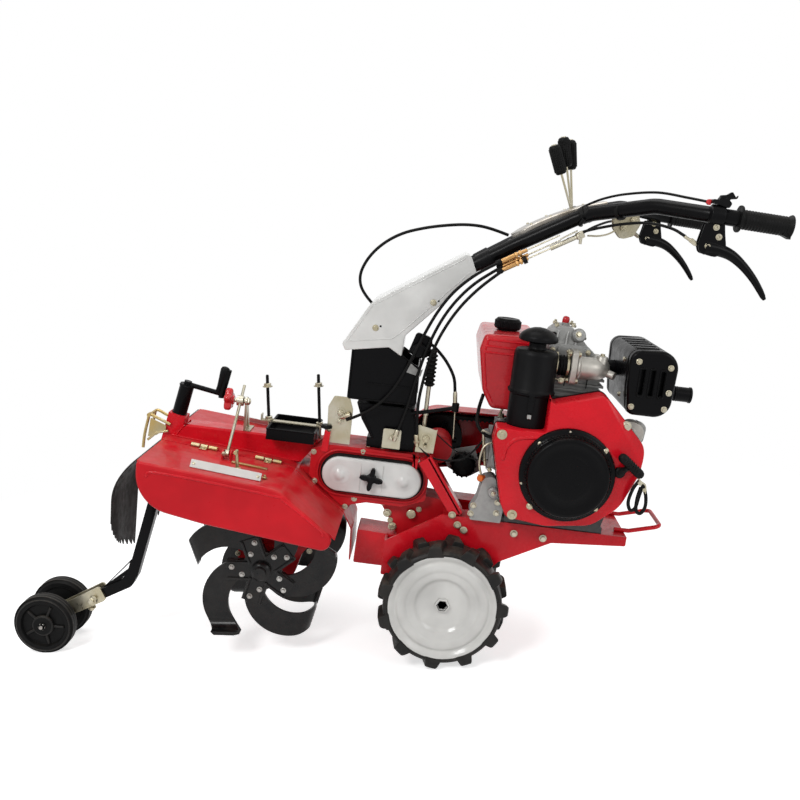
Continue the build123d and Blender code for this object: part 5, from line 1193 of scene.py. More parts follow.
def add_shift_gate():
    """The curved cover plate between the tubes, its pressed rim and screws, and three levers with ribbed knobs."""
    line = smooth_line([(56, 0, 838), (100, 0, 868), (150, 0, 895), (200, 0, 917), (250, 0, 932)], 6)
    rings = []
    for index, p in enumerate(line):
        ahead = line[min(index + 1, len(line) - 1)] - line[max(index - 1, 0)]
        up = Vector((-ahead.z, 0, ahead.x)).normalized()
        start = min(1.0, 0.35 + 0.30 * index)
        half = 56 * start
        rings.append([p + up * lift + Vector((0, y, 0)) for y, lift in
                      ((-half, -6), (-half, 1.5), (-half + 3, 4), (0, 5.5), (half - 3, 4), (half, 1.5), (half, -6))])
    plate = Shape()
    plate._rings(rings)
    plate.done("shift_cover", "silver", "handlebar", ["shift_plate"], angle=34)
    screws = Shape()
    for x, z in ((92, 868), (132, 890), (172, 909), (212, 925)):
        for side in (NEAR, FAR):
            screws.turned([(3.4, 0), (3, 2), (1.4, 3), (0, 3)], facing((x, side * 46, z), (-0.45, 0, 0.9)), 14)
    screws.done("shift_cover_screws", "zinc", "handlebar", angle=40)
    knobs, rods = Shape(), Shape()
    for x, y, top in ((118, -32, 1042), (140, 0, 1064), (160, 32, 1062)):
        foot, head = Vector((182 + 0.1 * y, 0.55 * y, 908)), Vector((x, y, top))
        along = (head - foot).normalized()
        rods.tube([foot, foot.lerp(head, 0.55), head - along * 30], 4.6, 12, 0.55)
        place = facing(head - along * 64, along)
        knobs.turned([(0, 0), (9, 0), (11.5, 2), (12.4, 6), (12.8, 58), (11.6, 62), (9, 64.4), (0, 65)], place, 40)
        for angle in turns(18):
            spoke = Vector((12.3 * math.cos(angle), 12.3 * math.sin(angle), 0))
            knobs.rod(place @ (spoke + Vector((0, 0, 6))), place @ (spoke + Vector((0, 0, 58))), 1.7, 6)
        for index in range(10):
            knobs.turned([(12.3, 8 + 5 * index), (13.7, 9 + 5 * index), (12.3, 10 + 5 * index)], place, 40)
        rods.turned([(6, 64), (6, 66.2), (0, 66.2)], place, 24)
    knobs.done("shift_knobs", "rubber", "handlebar", ["shift_levers"], angle=40)
    rods.done("shift_rods", "zinc", "handlebar", angle=40)


def add_hand_grips():
    """Ribbed rubber grips with a collar and a flared lower end."""
    shape = Shape()
    for side in (NEAR, FAR):
        start, end = Vector((468, side * GRIP_SPAN, 925.2)), Vector((573.6, side * GRIP_SPAN, 920.9))
        profile = [(16, 0), (26, 0.8), (26.6, 3), (26, 5.6), (20, 7), (18.4, 9)]
        for index in range(14):
            reach = 12 + 6 * index
            profile += [(18.4, reach), (19.4, reach + 1.2), (19.4, reach + 3.4), (18.4, reach + 4.8)]
        profile += [(19, 97), (22, 101), (23.4, 104), (22.6, 105.6), (0, 105.6)]
        shape.turned(profile, facing(start, end - start), 56)
        shape.slab([(556, 904), (573, 897), (573, 906), (560, 910)], side * GRIP_SPAN - 12, side * GRIP_SPAN + 12)
    shape.done("grip_rubbers", "rubber", "handlebar", ["hand_grips"], angle=42)


def add_hand_levers():
    """Clutch levers: clamp, forked bracket, curved blade of changing width, and the bolts through them."""
    shape, bolts = Shape(), Shape()
    route = [(414, 864), (440, 862), (468, 854), (494, 837), (518, 815), (535, 795), (546, 780)]
    widths = [15, 13, 11, 9, 7.6, 6.6, 5.4]
    for side in (NEAR, FAR):
        middle = side * GRIP_SPAN
        line = smooth_line([(x, middle, z) for x, z in route], 6)
        sizes = []
        for index in range(len(line)):
            share = index / 6
            low = min(int(share), len(widths) - 2)
            sizes.append(widths[low] + (widths[low + 1] - widths[low]) * (share - low))
        shape.tube(line, sizes, 20)
        shape.rod(line[-1] - Vector((1, 0, -1)), line[-1] + Vector((4, 0, -5)), 5.4, 20, 3.4)
        outline = rounded([(406, 910, 4), (444, 912, 4), (448, 892, 8), (454, 868, 12), (438, 846, 10), (404, 852, 10),
                           (398, 868, 8)], 5)
        for low, high in ((-10, -6), (6, 10)):
            shape.slab(outline, middle + low, middle + high)
        shape.turned([(16.2, -13), (20.5, -12), (20.5, 12), (16.2, 13)], facing((426, middle, 926.6), (1, 0, -0.04)),
                     36)
        shape.box(420, 436, middle - 8, middle + 8, 898, 912)
        shape.box(404, 420, middle - 8, middle + 8, 858, 872)
        for x, z in ((418, 866), (436, 886), (428, 904)):
            for way in (NEAR, FAR):
                bolts.socket_bolt((x, middle + way * 9.5, z), (0, way, 0), 4.4, 4.6)
        bolts.tube([(398, middle, 866), (388, middle, 872), (372, middle, 880)], 3.2, 10)
        bolts.turned([(5.4, 0), (5.4, 12), (4, 14)], facing((396, middle, 868), (-0.85, 0, 0.5)), 6)
    shape.done("clutch_levers", "black_paint", "handlebar", ["hand_levers"], bevel=1.2, angle=34)
    bolts.done("clutch_lever_bolts", "zinc", "handlebar", angle=34)


def add_throttle():
    """The thumb throttle, its red tip, and the cable that runs from it along the top of the near tube."""
    y = -GRIP_SPAN
    shape = Shape()
    shape.turned([(16.4, -11), (19.8, -10), (19.8, 10), (16.4, 11)], facing((430, y, 926.4), (1, 0, -0.04)), 36)
    shape.plate([(410, 944, 3), (446, 943, 3), (450, 952, 4), (440, 962, 5), (428, 957, 3), (412, 957, 4)], 4,
        y - 12, y + 12)
    shape.plate([(424, 952, 3), (438, 950, 3), (448, 960, 3), (460, 962, 4), (462, 973, 4), (448, 974, 4),
                 (440, 968, 3), (428, 966, 3)], 4, y - 5, y + 5)
    shape.rod((434, y - 8, 956), (434, y + 8, 956), 9, 28)
    shape.done("thumb_throttle", "black_plastic", "handlebar", ["throttle_lever"], bevel=1.0)
    tip = Shape()
    tip.rod((411, y, 950), (402, y, 951), 5.4, 20, 3.6)
    tip.box(405, 411, y - 5, y + 5, 945, 956)
    tip.done("throttle_tip", "red_plastic", "handlebar", bevel=0.8)
    wire = Shape()
    wire.bent([(404, y, 951), (372, -252, 955), (320, -214, 960), (268, -160, 952), (232, -122, 940),
               (206, -100, 926), (186, -84, 912)], 8, 2.6, 12)
    wire.bent([(374, y, 880), (350, -256, 892), (314, -214, 898), (276, -166, 892), (238, -124, 880),
               (206, -106, 868), (186, -101, 858)], 8, 3.0, 12)
    wire.bent([(374, -y, 880), (350, 256, 892), (314, 214, 898), (262, 120, 882), (214, 20, 860),
               (186, -60, 850), (172, -88, 846)], 8, 3.0, 12)
    wire.done("clipped_wires", "rubber", "handlebar", angle=60)


def add_cable_adjusters():
    """Brass adjusters on the cables' upper ends, a zinc turnbuckle, and the zinc pivot plates between the tubes."""
    brass, zinc, black = Shape(), Shape(), Shape()
    along = Vector((0.857, -0.04, 0.515)).normalized()
    for route in CABLE_ROUTES:
        start = Vector(route[0])
        brass.turned([(3.6, -14), (5.2, -12), (5.2, 22), (4, 25), (4, 52), (0, 52)], facing(start, along), 20)
        for reach in (24, 33):
            brass.turned([(7, reach), (7, reach + 5), (3, reach + 5)], facing(start, along), 6)
        black.turned([(6, -22), (6.6, -18), (6.6, -10), (5, -8)], facing(start, along), 20)
        zinc.rod(start + along * 50, start + along * 128, 1.6, 8)
    black.turned([(8.6, 0), (8.6, 9), (4, 9)], facing(Vector(CABLE_ROUTES[1][0]) + along * 40, along), 8)
    turn = Vector(CABLE_ROUTES[1][0]) + along * 104
    zinc.tube([turn, turn + along * 62], 6.4, 18, 0.8)
    zinc.turned([(7.4, 60), (9, 62), (9, 76), (7, 78), (0, 78)], facing(turn, along), 6)
    zinc.rod(turn + along * 70 - Vector((0, 12, 0)), turn + along * 70 + Vector((0, 12, 0)), 5, 18)
    zinc.rod(turn + along * 72, turn + along * 72 - Vector((0, 0, 20)), 3.4, 12)
    zinc.tube([turn + along * 20 + Vector((0, -8, 12)), turn + along * 60 + Vector((0, -8, 14))], 4, 12, 0.4)
    for y in (-52, -30):
        zinc.plate([(266, 922, 4), (318, 926, 4), (330, 896, 8), (318, 868, 12), (292, 858, 12), (272, 880, 8)],
                   5,
           y - 1.5, y + 1.5)
    for x, z in ((292, 884), (312, 902), (284, 908)):
        zinc.rod((x, -60, z), (x, -22, z), 4.6, 18)
        zinc.nut((x, -60, z), TO_NEAR, 7.5, 5, 3)
    zinc.tube([(296, -26, 930), (304, -26, 900), (312, -26, 868)], 4, 12, 0.5)
    zinc.bent([(276, -56, 876), (258, -70, 866), (236, -84, 860), (212, -92, 858)], 5, 2.0, 8)
    brass.done("cable_adjusters", "brass", "handlebar", angle=34)
    zinc.done("clutch_linkage", "zinc", "handlebar", angle=34)
    black.done("adjuster_boots", "rubber", "handlebar", angle=40)


# Column

def add_shroud():
    """The folds along the white column cover, its bolts, and the black collars where the tubes leave it."""
    shape = Shape()
    for side in (NEAR, FAR):
        line = [(-282, side * 69.6, 563), (-186, side * 69.6, 580), (-166, side * 69.6, 598), (-30, side * 69.6, 748)]
        shape.tube(line, 1.3, 8)
        shape.tube([(-288, side * 69.2, 560), (-238, side * 69.2, 650), (-44, side * 69.2, 777)], 1.6, 8)
    shape.done("column_cover_folds", "white_paint", "handlebar", angle=60)
    bolts, dots = Shape(), Shape()
    for side in (NEAR, FAR):
        for x, z in ((-226, 600), (-103, 672)):
            bolts.turned([(7.5, 0), (7.2, 1.4), (5, 1.8), (4.6, 4), (0, 4.4)],
                         facing((x, side * 69.8, z), (0, side, 0)), 24)
            dots.turned([(2.4, 0), (2.4, 0.8), (0, 0.8)], facing((x + 11, side * 69.8, z + 5), (0, side, 0)), 14)
    bolts.done("column_cover_bolts", "zinc", "handlebar", angle=40)
    for side in (NEAR, FAR):
        dots.tube([(-14, side * 51, 769), (14, side * 55, 788)], 18.6, 28)
    dots.done("tube_collars", "black_plastic", "handlebar", angle=40)


def add_column_details():
    """Folds, bolts and brackets of the column, the gear lever's bellows, arm and ferrule, and the loose plates."""
    folds = Shape()
    for side in (NEAR, FAR):
        y = side * 67
        folds.tube([(-272, y, 434), (-272, y, 552)], 2.6, 10)
        folds.tube([(-270, y, 432), (-120, y, 432)], 2.2, 10)
        folds.tube([(-116, y, 436), (-118, y, 520), (-138, y, 530), (-160, y, 544)], 2.0, 10)
    folds.box(-232, -128, -68.4, -66, 470, 473)
    folds.done("head_folds", "black_paint", "handlebar", angle=50)
    knot = Shape()
    knot.turned([(17, 0), (17, 6), (13, 10), (6, 11), (0, 11)], facing((-122, -72, 560), TO_NEAR), 28)
    knot.plate([(-150, 540, 6), (-100, 544, 10), (-92, 590, 14), (-132, 600, 8)], 5, -58, -46)
    knot.rod((-122, -46, 560), (-122, -78, 560), 6, 20)
    knot.done("pivot_boss", "black_paint", "handlebar", bevel=1)
    head = Shape()
    head.plate([(-152, 500, 4), (-112, 500, 4), (-106, 530, 8), (-150, 534, 6)], 4, -69, -66)
    head.done("grey_plate", "cast_alloy", "handlebar", bevel=0.8)
    lines = Shape()
    for side in (NEAR, FAR):
        y = side * 62
        lines.tube([(-246, y + side * 0.2, 420), (-224, y + side * 0.2, 378), (-204, y + side * 0.2, 342)], 2.4, 10)
        lines.tube([(-118, y + side * 0.2, 420), (-100, y + side * 0.2, 340)], 2.4, 10)
    lines.box(-246, -118, -63.4, -61, 414, 420)
    lines.done("column_folds", "black_paint", "chassis", angle=50)
    zinc, nuts = Shape(), Shape()
    zinc.plate([(-312, 318, 2), (-258, 318, 2), (-258, 402, 4), (-268, 430, 4), (-304, 430, 6), (-316, 404, 6)],
               4,
       -56, -53)
    zinc.plate([(-182, 326, 2), (-140, 326, 2), (-140, 372, 4), (-182, 372, 4)], 4, -76, -73)
    zinc.plate([(-104, 330, 2), (-62, 330, 2), (-58, 392, 4), (-104, 392, 4)], 4, -86, -83)
    zinc.box(-104, -62, -84, -60, 328, 331)
    for x, y, z, size in ((-286, -56, 392, 8), (-286, -56, 372, 6), (-162, -76, 352, 6), (-82, -86, 362, 9),
                          (-82, -86, 344, 5)):
        nuts.turned([(size * 1.5, 0), (size * 1.5, 1.5), (0, 1.5)], facing((x, y, z), TO_NEAR), 24)
        nuts.nut((x, y - 1.4, z), TO_NEAR, size, 6, 4)
    for x, y, z, way in ((-274, -62, 386, (-0.7, 0.2, -0.4)), (-152, -83, 360, (-0.2, 0, -1)),
                         (-103, -91, 356, (0.2, 0, -1))):
        nuts.turned([(4.6, -14), (5.4, -12), (5.4, 10), (4, 14)], facing((x, y, z), way), 18)
        nuts.turned([(7.4, 0), (7.4, 5)], facing((x, y, z), way), 6)
    zinc.done("bracket_plates", "zinc", "chassis", ["cable_bracket"], bevel=0.6)
    nuts.done("bracket_nuts", "zinc", "chassis", angle=30)
    gear, boot, arm = Shape(), Shape(), Shape()
    x, y = -90.0, -68.0
    gear.rod((x, y, 330), (x, y, 486), 5, 20)
    gear.turned([(8, 0), (8, 7)], facing((x, y, 414), UPWARD), 6)
    profile = [(0, 0), (9, 0)]
    for index in range(8):
        profile += [(9, 1 + 9.4 * index), (12.6, 4 + 9.4 * index), (12.6, 6 + 9.4 * index), (8.6, 9 + 9.4 * index)]
    boot.turned(profile + [(9, 78), (10.6, 80), (9, 84), (0, 84)], facing((x, y, 482), UPWARD), 36)
    arm.tube([(x - 34, y - 6, 414), (x + 8, y - 6, 424), (x + 68, y - 4, 440)], 6.4, 18, 0.7)
    arm.turned([(8.4, -9), (8.4, 9), (6.6, 11), (0, 11)], facing((x + 66, y - 4, 440), UPWARD), 24)
    gear.turned([(4.4, 0), (5, 2), (5, 22), (3.6, 27)], facing((x + 64, y - 4, 450), (-0.12, 0, 1)), 18)
    arm.bent([(x + 61, y - 4, 474), (x + 54, y - 2, 508), (x + 34, y + 4, 540), (x + 8, y + 10, 566),
              (x - 10, y + 14, 578)], 7, 3.6, 14)
    gear.rod((x + 66, y - 4, 432), (x + 70, y - 4, 366), 1.4, 8)
    gear.done("gear_rod", "zinc", "chassis", ["gear_lever"], angle=40)
    boot.done("gear_boot", "rubber", "handlebar", angle=40)
    arm.done("gear_arm", "black_paint", "chassis", angle=40)


PULLEY_X, PULLEY_Z = -50, 318
TENSION_X, TENSION_Z = 20, 264


def add_drive_details():
    """The belts' cogs, the pulley spokes and hubs, the red channel strut, and the plate behind the belts."""
    cogs = Shape()
    slope = math.atan2(CRANK_Z - PULLEY_Z, CRANK_X - PULLEY_X)
    run = Vector((math.cos(slope), 0, math.sin(slope)))
    up = Vector((-run.z, 0, run.x))
    for index in range(24):
        for lift, way in ((58, -1), (-58, 1)):
            spot = Vector((PULLEY_X,
                           132, PULLEY_Z)) + run * (6 + 11 * index) + up * (lift * (1 - 0.0125 * index) + way * 6)
            cogs.rod(spot + Vector((0, -16, 0)), spot + Vector((0, 16, 0)), 3.4, 6)
    cogs.done("belt_cogs", "rubber", "chassis", angle=30)
    hub = Shape()
    hub.turned([(24, 0), (24, 12), (19, 15), (19, 20), (0, 20)], facing((PULLEY_X, 116, PULLEY_Z), TO_NEAR), 36)
    for angle in turns(5):
        hub.rod((PULLEY_X + 20 * math.cos(angle), 112, PULLEY_Z + 20 * math.sin(angle)),
                (PULLEY_X + 46 * math.cos(angle), 112, PULLEY_Z + 46 * math.sin(angle)), 6, 10)
    hub.turned([(30, 0), (30, 20), (24, 24), (0, 24)], facing((TENSION_X, 104, TENSION_Z), TO_NEAR), 36)
    for angle in turns(16):
        x, z = TENSION_X + 30 * math.cos(angle), TENSION_Z + 30 * math.sin(angle)
        hub.rod((x, 84, z), (x, 102, z), 3, 6)
    hub.done("tension_pulley", "black_paint", "chassis", bevel=0.8)
    plate = Shape()
    plate.plate([(-40, 306, 8), (60, 316, 8), (66, 250, 10), (30, 226, 20), (-20, 250, 16)], 5, 106, 110)
    plate.done("clutch_plate", "cast_alloy", "chassis", bevel=1)
    strut = Shape()
    for low, high in ((-100, -96), (-64, -60)):
        strut.slab([(-92, 306), (-70, 322), (18, 198), (-4, 190)], low, high)
    strut.slab([(-72, 318), (-66, 326), (22, 202), (16, 194)], -100, -60)
    strut.plate([(-112, 262, 6), (-96, 262, 6), (-92, 318, 6), (-114, 318, 6)], 4, -72, -56)
    strut.done("channel_strut", "red_paint", "chassis", bevel=1.6, segments=3)
    ribs = Shape()
    ribs.plate([(-322, 296, 4), (-306, 296, 4), (-304, 352, 4), (-326, 352, 4)], 4, -64, -50)
    ribs.done("case_ribs", "red_paint", "chassis", bevel=1.6, segments=3)
    caps = Shape()
    caps.turned([(13, 0), (13, 5), (10, 8), (0, 8)], facing((-315, -57, 352), UPWARD), 28)
    caps.done("rib_caps", "black_plastic", "chassis", angle=40)
    big = Shape()
    for x, z in ((-165, 186), (-152, 158), (-136, 126), (-118, 94)):
        big.turned([(10, 0), (10, 2.4), (7.6, 3), (7.6, 8.4), (6.6, 9.2), (4, 9.2), (3.8, 6), (0, 6)],
                   facing((x, LEG_FACE, z), TO_NEAR), 28)
    for x, z, y in ((-1, 194, -103), (30, 160, -101), (14, 171, -101), (214, 164, -101), (146, 167, -101)):
        big.bolt((x, y, z), TO_NEAR, 6.5, 5)
    big.nut((137, -101, 209), TO_NEAR, 9, 7, 4)
    big.done("frame_bolts", "zinc", "chassis", angle=28)
    wires = Shape()
    wires.bent([(-96, -84, 340), (-60, -86, 318), (0, -88, 322), (30, -92, 350), (48, -100, 380)], 8, 2.2,
   10)
    wires.bent([(-60, -84, 376), (-10, -88, 342), (30, -92, 330), (64, -100, 334)], 8, 1.5, 8)
    wires.done("clipped_engine_wires", "rubber", "chassis", angle=60)


# Flaps, rotor bolts and depth gear

FLAP_INNER, FLAP_OUTER, FLAP_TEETH, FLAP_THICK = 78.0, 256.0, 11, 3.0
FLAP_WIDTH = FLAP_OUTER - FLAP_INNER
FLAP_ROWS = 16


def flap_point(drop, inward):
    """Where the flap lies, so far down from the hood's edge; inward 0 is its outer face and 1 its inner one."""
    curl = 1 - (1 - min(drop / 100, 1.0)) ** 2
    return (-692.5 - 50 * curl - (1 - inward) * FLAP_THICK, 282 - drop)


def flap_drop(share):
    """How far down the flap's edge lies, from its outer side (0) to its inner side (1)."""
    return 112 + 140 * share ** 0.36


def add_flap(name, side):
    """A hung rubber sheet, curled outward at its top, with stepped saw teeth along its slanting lower edge."""
    columns = []
    for tooth in range(FLAP_TEETH):
        low, high = (tooth / FLAP_TEETH) ** 1.7, ((tooth + 0.96) / FLAP_TEETH) ** 1.7
        columns.append((low, flap_drop(low) - 6))
        columns.append((high, flap_drop(high) + 12))
    columns.append((1.0, flap_drop(1.0) - 2))
    rings = []
    for share, drop in columns:
        y = side * (FLAP_OUTER - share * FLAP_WIDTH)
        wave = 2.2 * math.sin(9 * share)
        ring = []
        for face in (0, 1):
            steps = range(FLAP_ROWS + 1) if face == 0 else range(FLAP_ROWS, -1, -1)
            for step in steps:
                x, z = flap_point(drop * step / FLAP_ROWS, face)
                ring.append((x + wave * step / FLAP_ROWS, y, z))
        rings.append(ring)
    shape = Shape()
    shape._rings(rings)
    flap = shape.done("hood_flap_" + name, "flap", "wing_" + name, ["rubber_flap_" + name], angle=40,
                      slot="rubber")


def add_hinge_leaves():
    """Zinc leaves and knuckles over the plain hinges, with two screws in each leaf."""
    for name, side in both_sides():
        still, moving = Shape(), Shape()
        for middle in (-592, -440):
            place = Matrix.Translation((middle, side * 80.5, hood_z(middle) + 3.5)) @ Matrix.Rotation(HOOD_SLOPE, 4,
                                                                                                      "Y")
            for shape, low, high, way in ((still, -31, -11, -side), (still, 11, 31, -side), (moving, -8, 8, side)):
                shape.turned([(5.5, 0), (5.5, high - low)], place @ facing((low, 0, 0), (1, 0, 0)), 24)
                near, far = sorted((way * 1.0, way * 18.4))
                shape.box(low, high, near, far, -2.2, -0.6, place)
                shape.turned([(3.6, 0), (3.2, 1.4), (1.4, 2.2), (0, 2.2)],
                             place @ facing(((low + high) / 2, way * 12, -0.6), UPWARD), 16)
        still.done("hinge_leaf_still_" + name, "brass_zinc", "chassis", bevel=0.4)
        moving.done("hinge_leaf_moving_" + name, "brass_zinc", "wing_" + name, bevel=0.4)


def add_latch():
    """The hood's zinc fittings: T bolt, its plate and strip, and the small nuts of the stay's lug."""
    shape = Shape()
    foot = Vector((-486, -202, hood_z(-486)))
    shape.rod(foot - Vector((0, 0, 4)), foot + Vector((-6, 0, 44)), 3.8, 16)
    shape.rod(foot + Vector((-7, -9, 44)), foot + Vector((-7, 9, 44)), 4.2, 16)
    shape.nut(foot + Vector((0, 0, 3)), UPWARD, 8, 6, 1)
    for x_low, x_high, y_low, y_high in ((-548, -506, -214, -196), (-508, -462, -214, -192)):
        place = Matrix.Translation((x_low, 0, hood_z(x_low) + 0.5)) @ Matrix.Rotation(HOOD_SLOPE, 4, "Y")
        shape.box(0, x_high - x_low, y_low, y_high, 0, 3, place)
    place = Matrix.Translation((-512, 0, hood_z(-512) + 0.5)) @ Matrix.Rotation(HOOD_SLOPE, 4, "Y")
    shape.box(0, 82, -152, -143, 0, 3.4, place)
    for x in (-560, -424):
        shape.rod((x, -214, hood_z(x)), (x, -214, hood_z(x) + 9), 3, 12)
        shape.nut((x, -214, hood_z(x) + 1), UPWARD, 6, 4, 1)
    shape.done("hood_latch", "brass_zinc", "wing_near", bevel=0.5)
    nuts = Shape()
    for y in (-138, -122):
        nuts.nut((STAY_X - 6, y, hood_z(STAY_X) + 15), (0, 1 if y > -130 else -1, 0), 5.5, 4, 2)
    nuts.done("stay_nuts", "zinc", "wing_near", angle=30)


BRACKET_HALF = 26


def add_end_bracket():
    """The yellow frame on the beam's end: a near rod with a filled corner and tie, a cross bar and a far rod."""
    shape = Shape()
    y = -BRACKET_HALF
    shape.bent([(-690, y, 306), (-716, y, 316), (-740, y, 324), (-744, y, 312), (-750, y, 276),
                (-752, y, 242)], 5, 3.6, 14)
    shape.tube([(-742, y, 262), (-722, y, 282), (-694, y, 290)], 3.0, 12)
    shape.slab([(-738, 316), (-700, 302), (-700, 292), (-722, 276), (-742, 270)], y - 1.2, y + 1.2)
    shape.rod((-741, y - 7, 324), (-741, y + 7, 324), 5, 16)
    shape.tube([(-741, y, 324), (-741, -y, 324)], 3.2, 12)
    shape.bent([(-690, -y, 306), (-716, -y, 316), (-740, -y, 324), (-746, -y, 300), (-750, -y, 276)], 5,
   3.6, 14)
    shape.done("end_bracket", "brass_zinc", "chassis", angle=40)


ROTOR_X, HUB_FACE = -430.0, 106.0
BLADES, BLADE_START = 5, math.radians(48)
DEPTH_X = -960.0
DEPTH_Z = (74 - WHEEL_RADIUS + DEPTH_X * math.sin(TILT)) / math.cos(TILT)


def add_rotor_bolts():
    """Two bolts through each blade's clamp, the hub's end cap and its pin."""
    bolts, hub = Shape(), Shape()
    for side in (NEAR, FAR):
        for angle in turns(BLADES, BLADE_START):
            for reach, aside in ((46, -10), (70, 8)):
                x = reach * math.sin(angle) + aside * math.cos(angle)
                z = reach * math.cos(angle) - aside * math.sin(angle)
                bolts.bolt((ROTOR_X + x, side * HUB_FACE, z), (0, side, 0), 5, 5)
        hub.turned([(24, 0), (24, 8), (20, 12), (15, 14), (15, 20), (0, 20)],
                   facing((ROTOR_X, side * HUB_FACE, 0), (0, side, 0)), 40)
    bolts.done("rotor_bolts", "steel", "rotor", angle=28)
    hub.done("rotor_hub_caps", "blade", "rotor", angle=34)
    ties = Shape()
    for side in (NEAR, FAR):
        for angle in turns(BLADES, BLADE_START):
            spoke = Vector((math.sin(angle), 0, math.cos(angle)))
            across = Vector((math.cos(angle), 0, -math.sin(angle)))
            base = Vector((ROTOR_X, side * (HUB_FACE + 1), 0))
            for way in (-1, 1):
                ties.tube([base + spoke * 24 + across * (way * 20), base + spoke * 80 + across * (way * 20)], 3.4, 8)
    ties.done("rotor_clamp_ribs", "blade", "rotor", angle=40)


def leg_at(distance, aside=0.0):
    """A point on the depth leg's centre line, so far up from its socket, in X and Z."""
    lean_back = math.radians(11.5)
    return (-690 + distance * math.sin(lean_back) + aside * math.cos(lean_back),
            266 + distance * math.cos(lean_back) - aside * math.sin(lean_back))


def add_depth_details():
    """The crank's tapered grip and pin, the tube's cap and welds, and the ribs, hubs and nuts of the depth wheels."""
    grip = Shape()
    low, high = Vector((-587, 0, 392)), Vector((-573, 0, 454))
    grip.turned([(0, 0), (7, 0), (8, 3), (7.4, 14), (8.6, 30), (10.6, 50), (11, 58), (9, 63), (5, 65), (0, 65)],
                facing(low, high - low), 32)
    grip.done("crank_grip", "black_plastic", "chassis", angle=50)
    seams = Shape()
    for reach in (66, 136):
        x, z = leg_at(reach)
        seams.turned([(17, -2), (18.4, -1), (18.4, 1), (17, 2)], facing((x, 0, z), (0.2, 0, 0.98)), 36)
    seams.done("crank_seams", "black_paint", "chassis", angle=40)
    wheel = Shape()
    for side in (NEAR, FAR):
        for offset, radius in ((44, 75.2), (54, 75.2), (64, 75.2)):
            wheel.turned([(73, -2.4), (radius - 0.6, -1.2), (radius - 0.6, 1.2), (73, 2.4), (73, -2.4)],
                         facing((DEPTH_X, side * offset, DEPTH_Z), (0, side, 0)), 72)
        face = facing((DEPTH_X, side * 71.5, DEPTH_Z), (0, side, 0))
        wheel.turned([(64, -0.6), (66, 0.8), (68, -0.6), (64, -0.6)], face, 72)
        wheel.turned([(26, -6), (26, 0), (22, 2.6), (14, 3.4), (0, 3.4)], face, 40)
        for angle in turns(5):
            wheel.tube([face @ Vector((24 * math.cos(angle), 24 * math.sin(angle), -6)),
                        face @ Vector((50 * math.cos(angle), 50 * math.sin(angle), -7))], 3.4, 10)
    wheel.done("depth_wheel_ribs", "tyre", "depth_wheels", angle=40)
    nuts = Shape()
    for side in (NEAR, FAR):
        nuts.nut((DEPTH_X, side * 75, DEPTH_Z), (0, side, 0), 9, 6, 4)
    nuts.done("depth_wheel_nuts", "steel", "depth_wheels", angle=30)
    fork = Shape()
    fork.bolt((-858, -24, -172), TO_NEAR, 8, 6)
    fork.bolt((-858, 24, -172), TO_FAR, 8, 6)
    fork.rod((-862, 0, -176), (-866, 0, -204), 4.4, 18)
    fork.bolt((-865.4, 0, -196), (-0.14, 0, -1), 8, 8)
    fork.done("fork_bolts", "zinc", "depth_leg", angle=30)


for add_part in (add_wheels, add_gear_cover, add_cover_knob, add_case_details, add_beam_details, add_star_knob,
                 add_hood_details, add_fan_shroud, add_recoil, add_air_filter, add_elbow, add_head_details,
                 add_tank_details, add_muffler_details, add_injection_details, add_handle_tubes, add_shift_gate,
                 add_hand_grips, add_hand_levers, add_throttle, add_cable_adjusters, add_shroud, add_column_details,
                 add_drive_details):
    add_part()
for name, side in both_sides():
    add_flap(name, side)
for add_part in (add_hinge_leaves, add_latch, add_end_bracket, add_rotor_bolts, add_depth_details):
    add_part()


# Floor and light

FLOOR_LIFT = 0.62
FLOOR_FADE = (0.9, 2.0)
FLOOR_HALF = 20.0
WORLD_LIGHT = 0.42


def seen_directly(tree):
    """1 for rays that should meet the white background: from the camera, off metal and through glass."""
    path = tree.nodes.new("ShaderNodeLightPath")
    share = path.outputs["Is Camera Ray"]
    for name in ("Is Glossy Ray", "Is Transmission Ray"):
        most = tree.nodes.new("ShaderNodeMath")
        most.operation = "MAXIMUM"
        tree.links.new(share, most.inputs[0])
        tree.links.new(path.outputs[name], most.inputs[1])
        share = most.outputs[0]
    return share


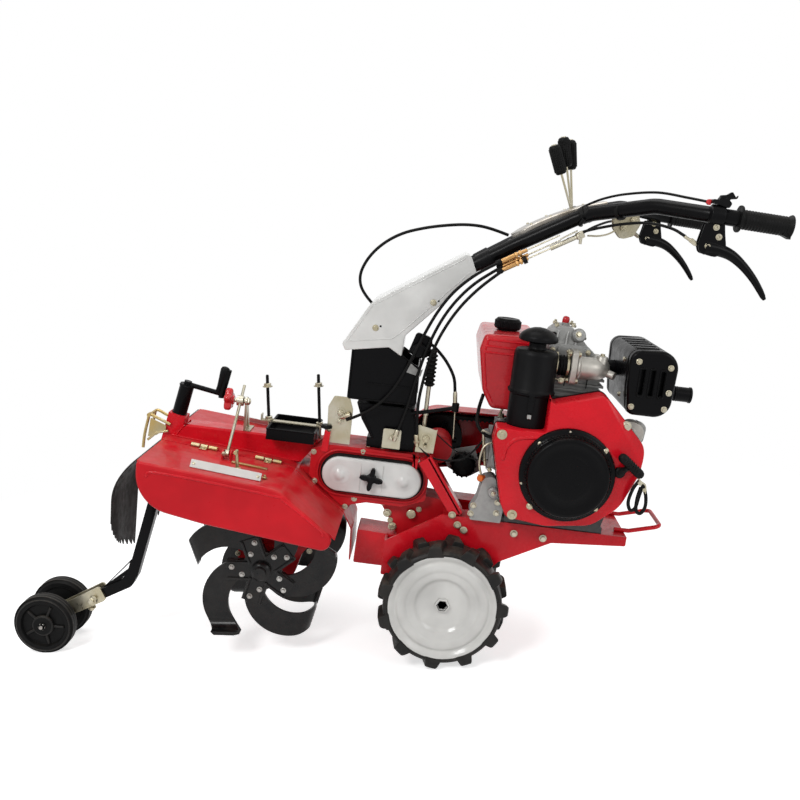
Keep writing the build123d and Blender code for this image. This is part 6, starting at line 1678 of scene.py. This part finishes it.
def add_floor():
    """A floor that looks white and keeps the soft shadow under the machine."""
    s = Surface("floor")
    s.shader.inputs["Base Color"].default_value = (0.80, 0.80, 0.80, 1.0)
    s.shader.inputs["Roughness"].default_value = 0.9
    s.shader.inputs["Specular IOR Level"].default_value = 0.0
    seen = seen_directly(s.tree)
    s.shader.inputs["Emission Color"].default_value = (1.0, 1.0, 1.0, 1.0)
    s.join(s.math("MULTIPLY", seen, FLOOR_LIFT), s.shader.inputs["Emission Strength"])
    distance = s.add("ShaderNodeVectorMath", operation="LENGTH")
    s.join(s.coords, distance.inputs[0])
    fade = s.math("MULTIPLY", s.ramp(distance.outputs["Value"], *FLOOR_FADE), seen)
    white = s.add("ShaderNodeEmission")
    blend = s.add("ShaderNodeMixShader")
    s.join(fade, blend.inputs[0])
    s.join(s.shader.outputs[0], blend.inputs[1])
    s.join(white.outputs[0], blend.inputs[2])
    s.join(blend.outputs[0], s.tree.nodes["Material Output"].inputs["Surface"])
    mesh = bpy.data.meshes.new("floor")
    half = FLOOR_HALF
    mesh.from_pydata([(-half, -half, 0), (half, -half, 0), (half, half, 0), (-half, half, 0)], [], [(0, 1, 2, 3)])
    floor = bpy.data.objects.new("floor", mesh)
    bpy.context.scene.collection.objects.link(floor)
    mesh.materials.append(s.material)


def add_area(name, place, target, size, power):
    data = bpy.data.lights.new(name, "AREA")
    data.shape = "DISK"
    data.size = size
    data.energy = power
    lamp = bpy.data.objects.new(name, data)
    lamp.location = place
    lamp.rotation_mode = "QUATERNION"
    lamp.rotation_quaternion = (Vector(target) - Vector(place)).to_track_quat("-Z", "Y")
    bpy.context.scene.collection.objects.link(lamp)


def add_world():
    world = bpy.data.worlds.new("world")
    bpy.context.scene.world = world
    world.use_nodes = True
    tree = world.node_tree
    back = tree.nodes["Background"]
    back.inputs["Color"].default_value = (1.0, 1.0, 1.0, 1.0)
    ramp = tree.nodes.new("ShaderNodeMapRange")
    ramp.inputs["To Min"].default_value = WORLD_LIGHT
    ramp.inputs["To Max"].default_value = 1.0
    tree.links.new(seen_directly(tree), ramp.inputs["Value"])
    tree.links.new(ramp.outputs["Result"], back.inputs["Strength"])


add_floor()
add_world()
add_area("key", (-1.4, -2.6, 3.0), (0.0, 0.0, 0.4), 1.2, 62.0)
add_area("fill", (2.6, -2.2, 1.8), (0.0, 0.0, 0.4), 1.6, 22.0)
add_area("top", (0.2, 0.6, 3.4), (0.0, 0.0, 0.3), 2.0, 34.0)
bpy.context.scene.view_settings.view_transform = "Standard"
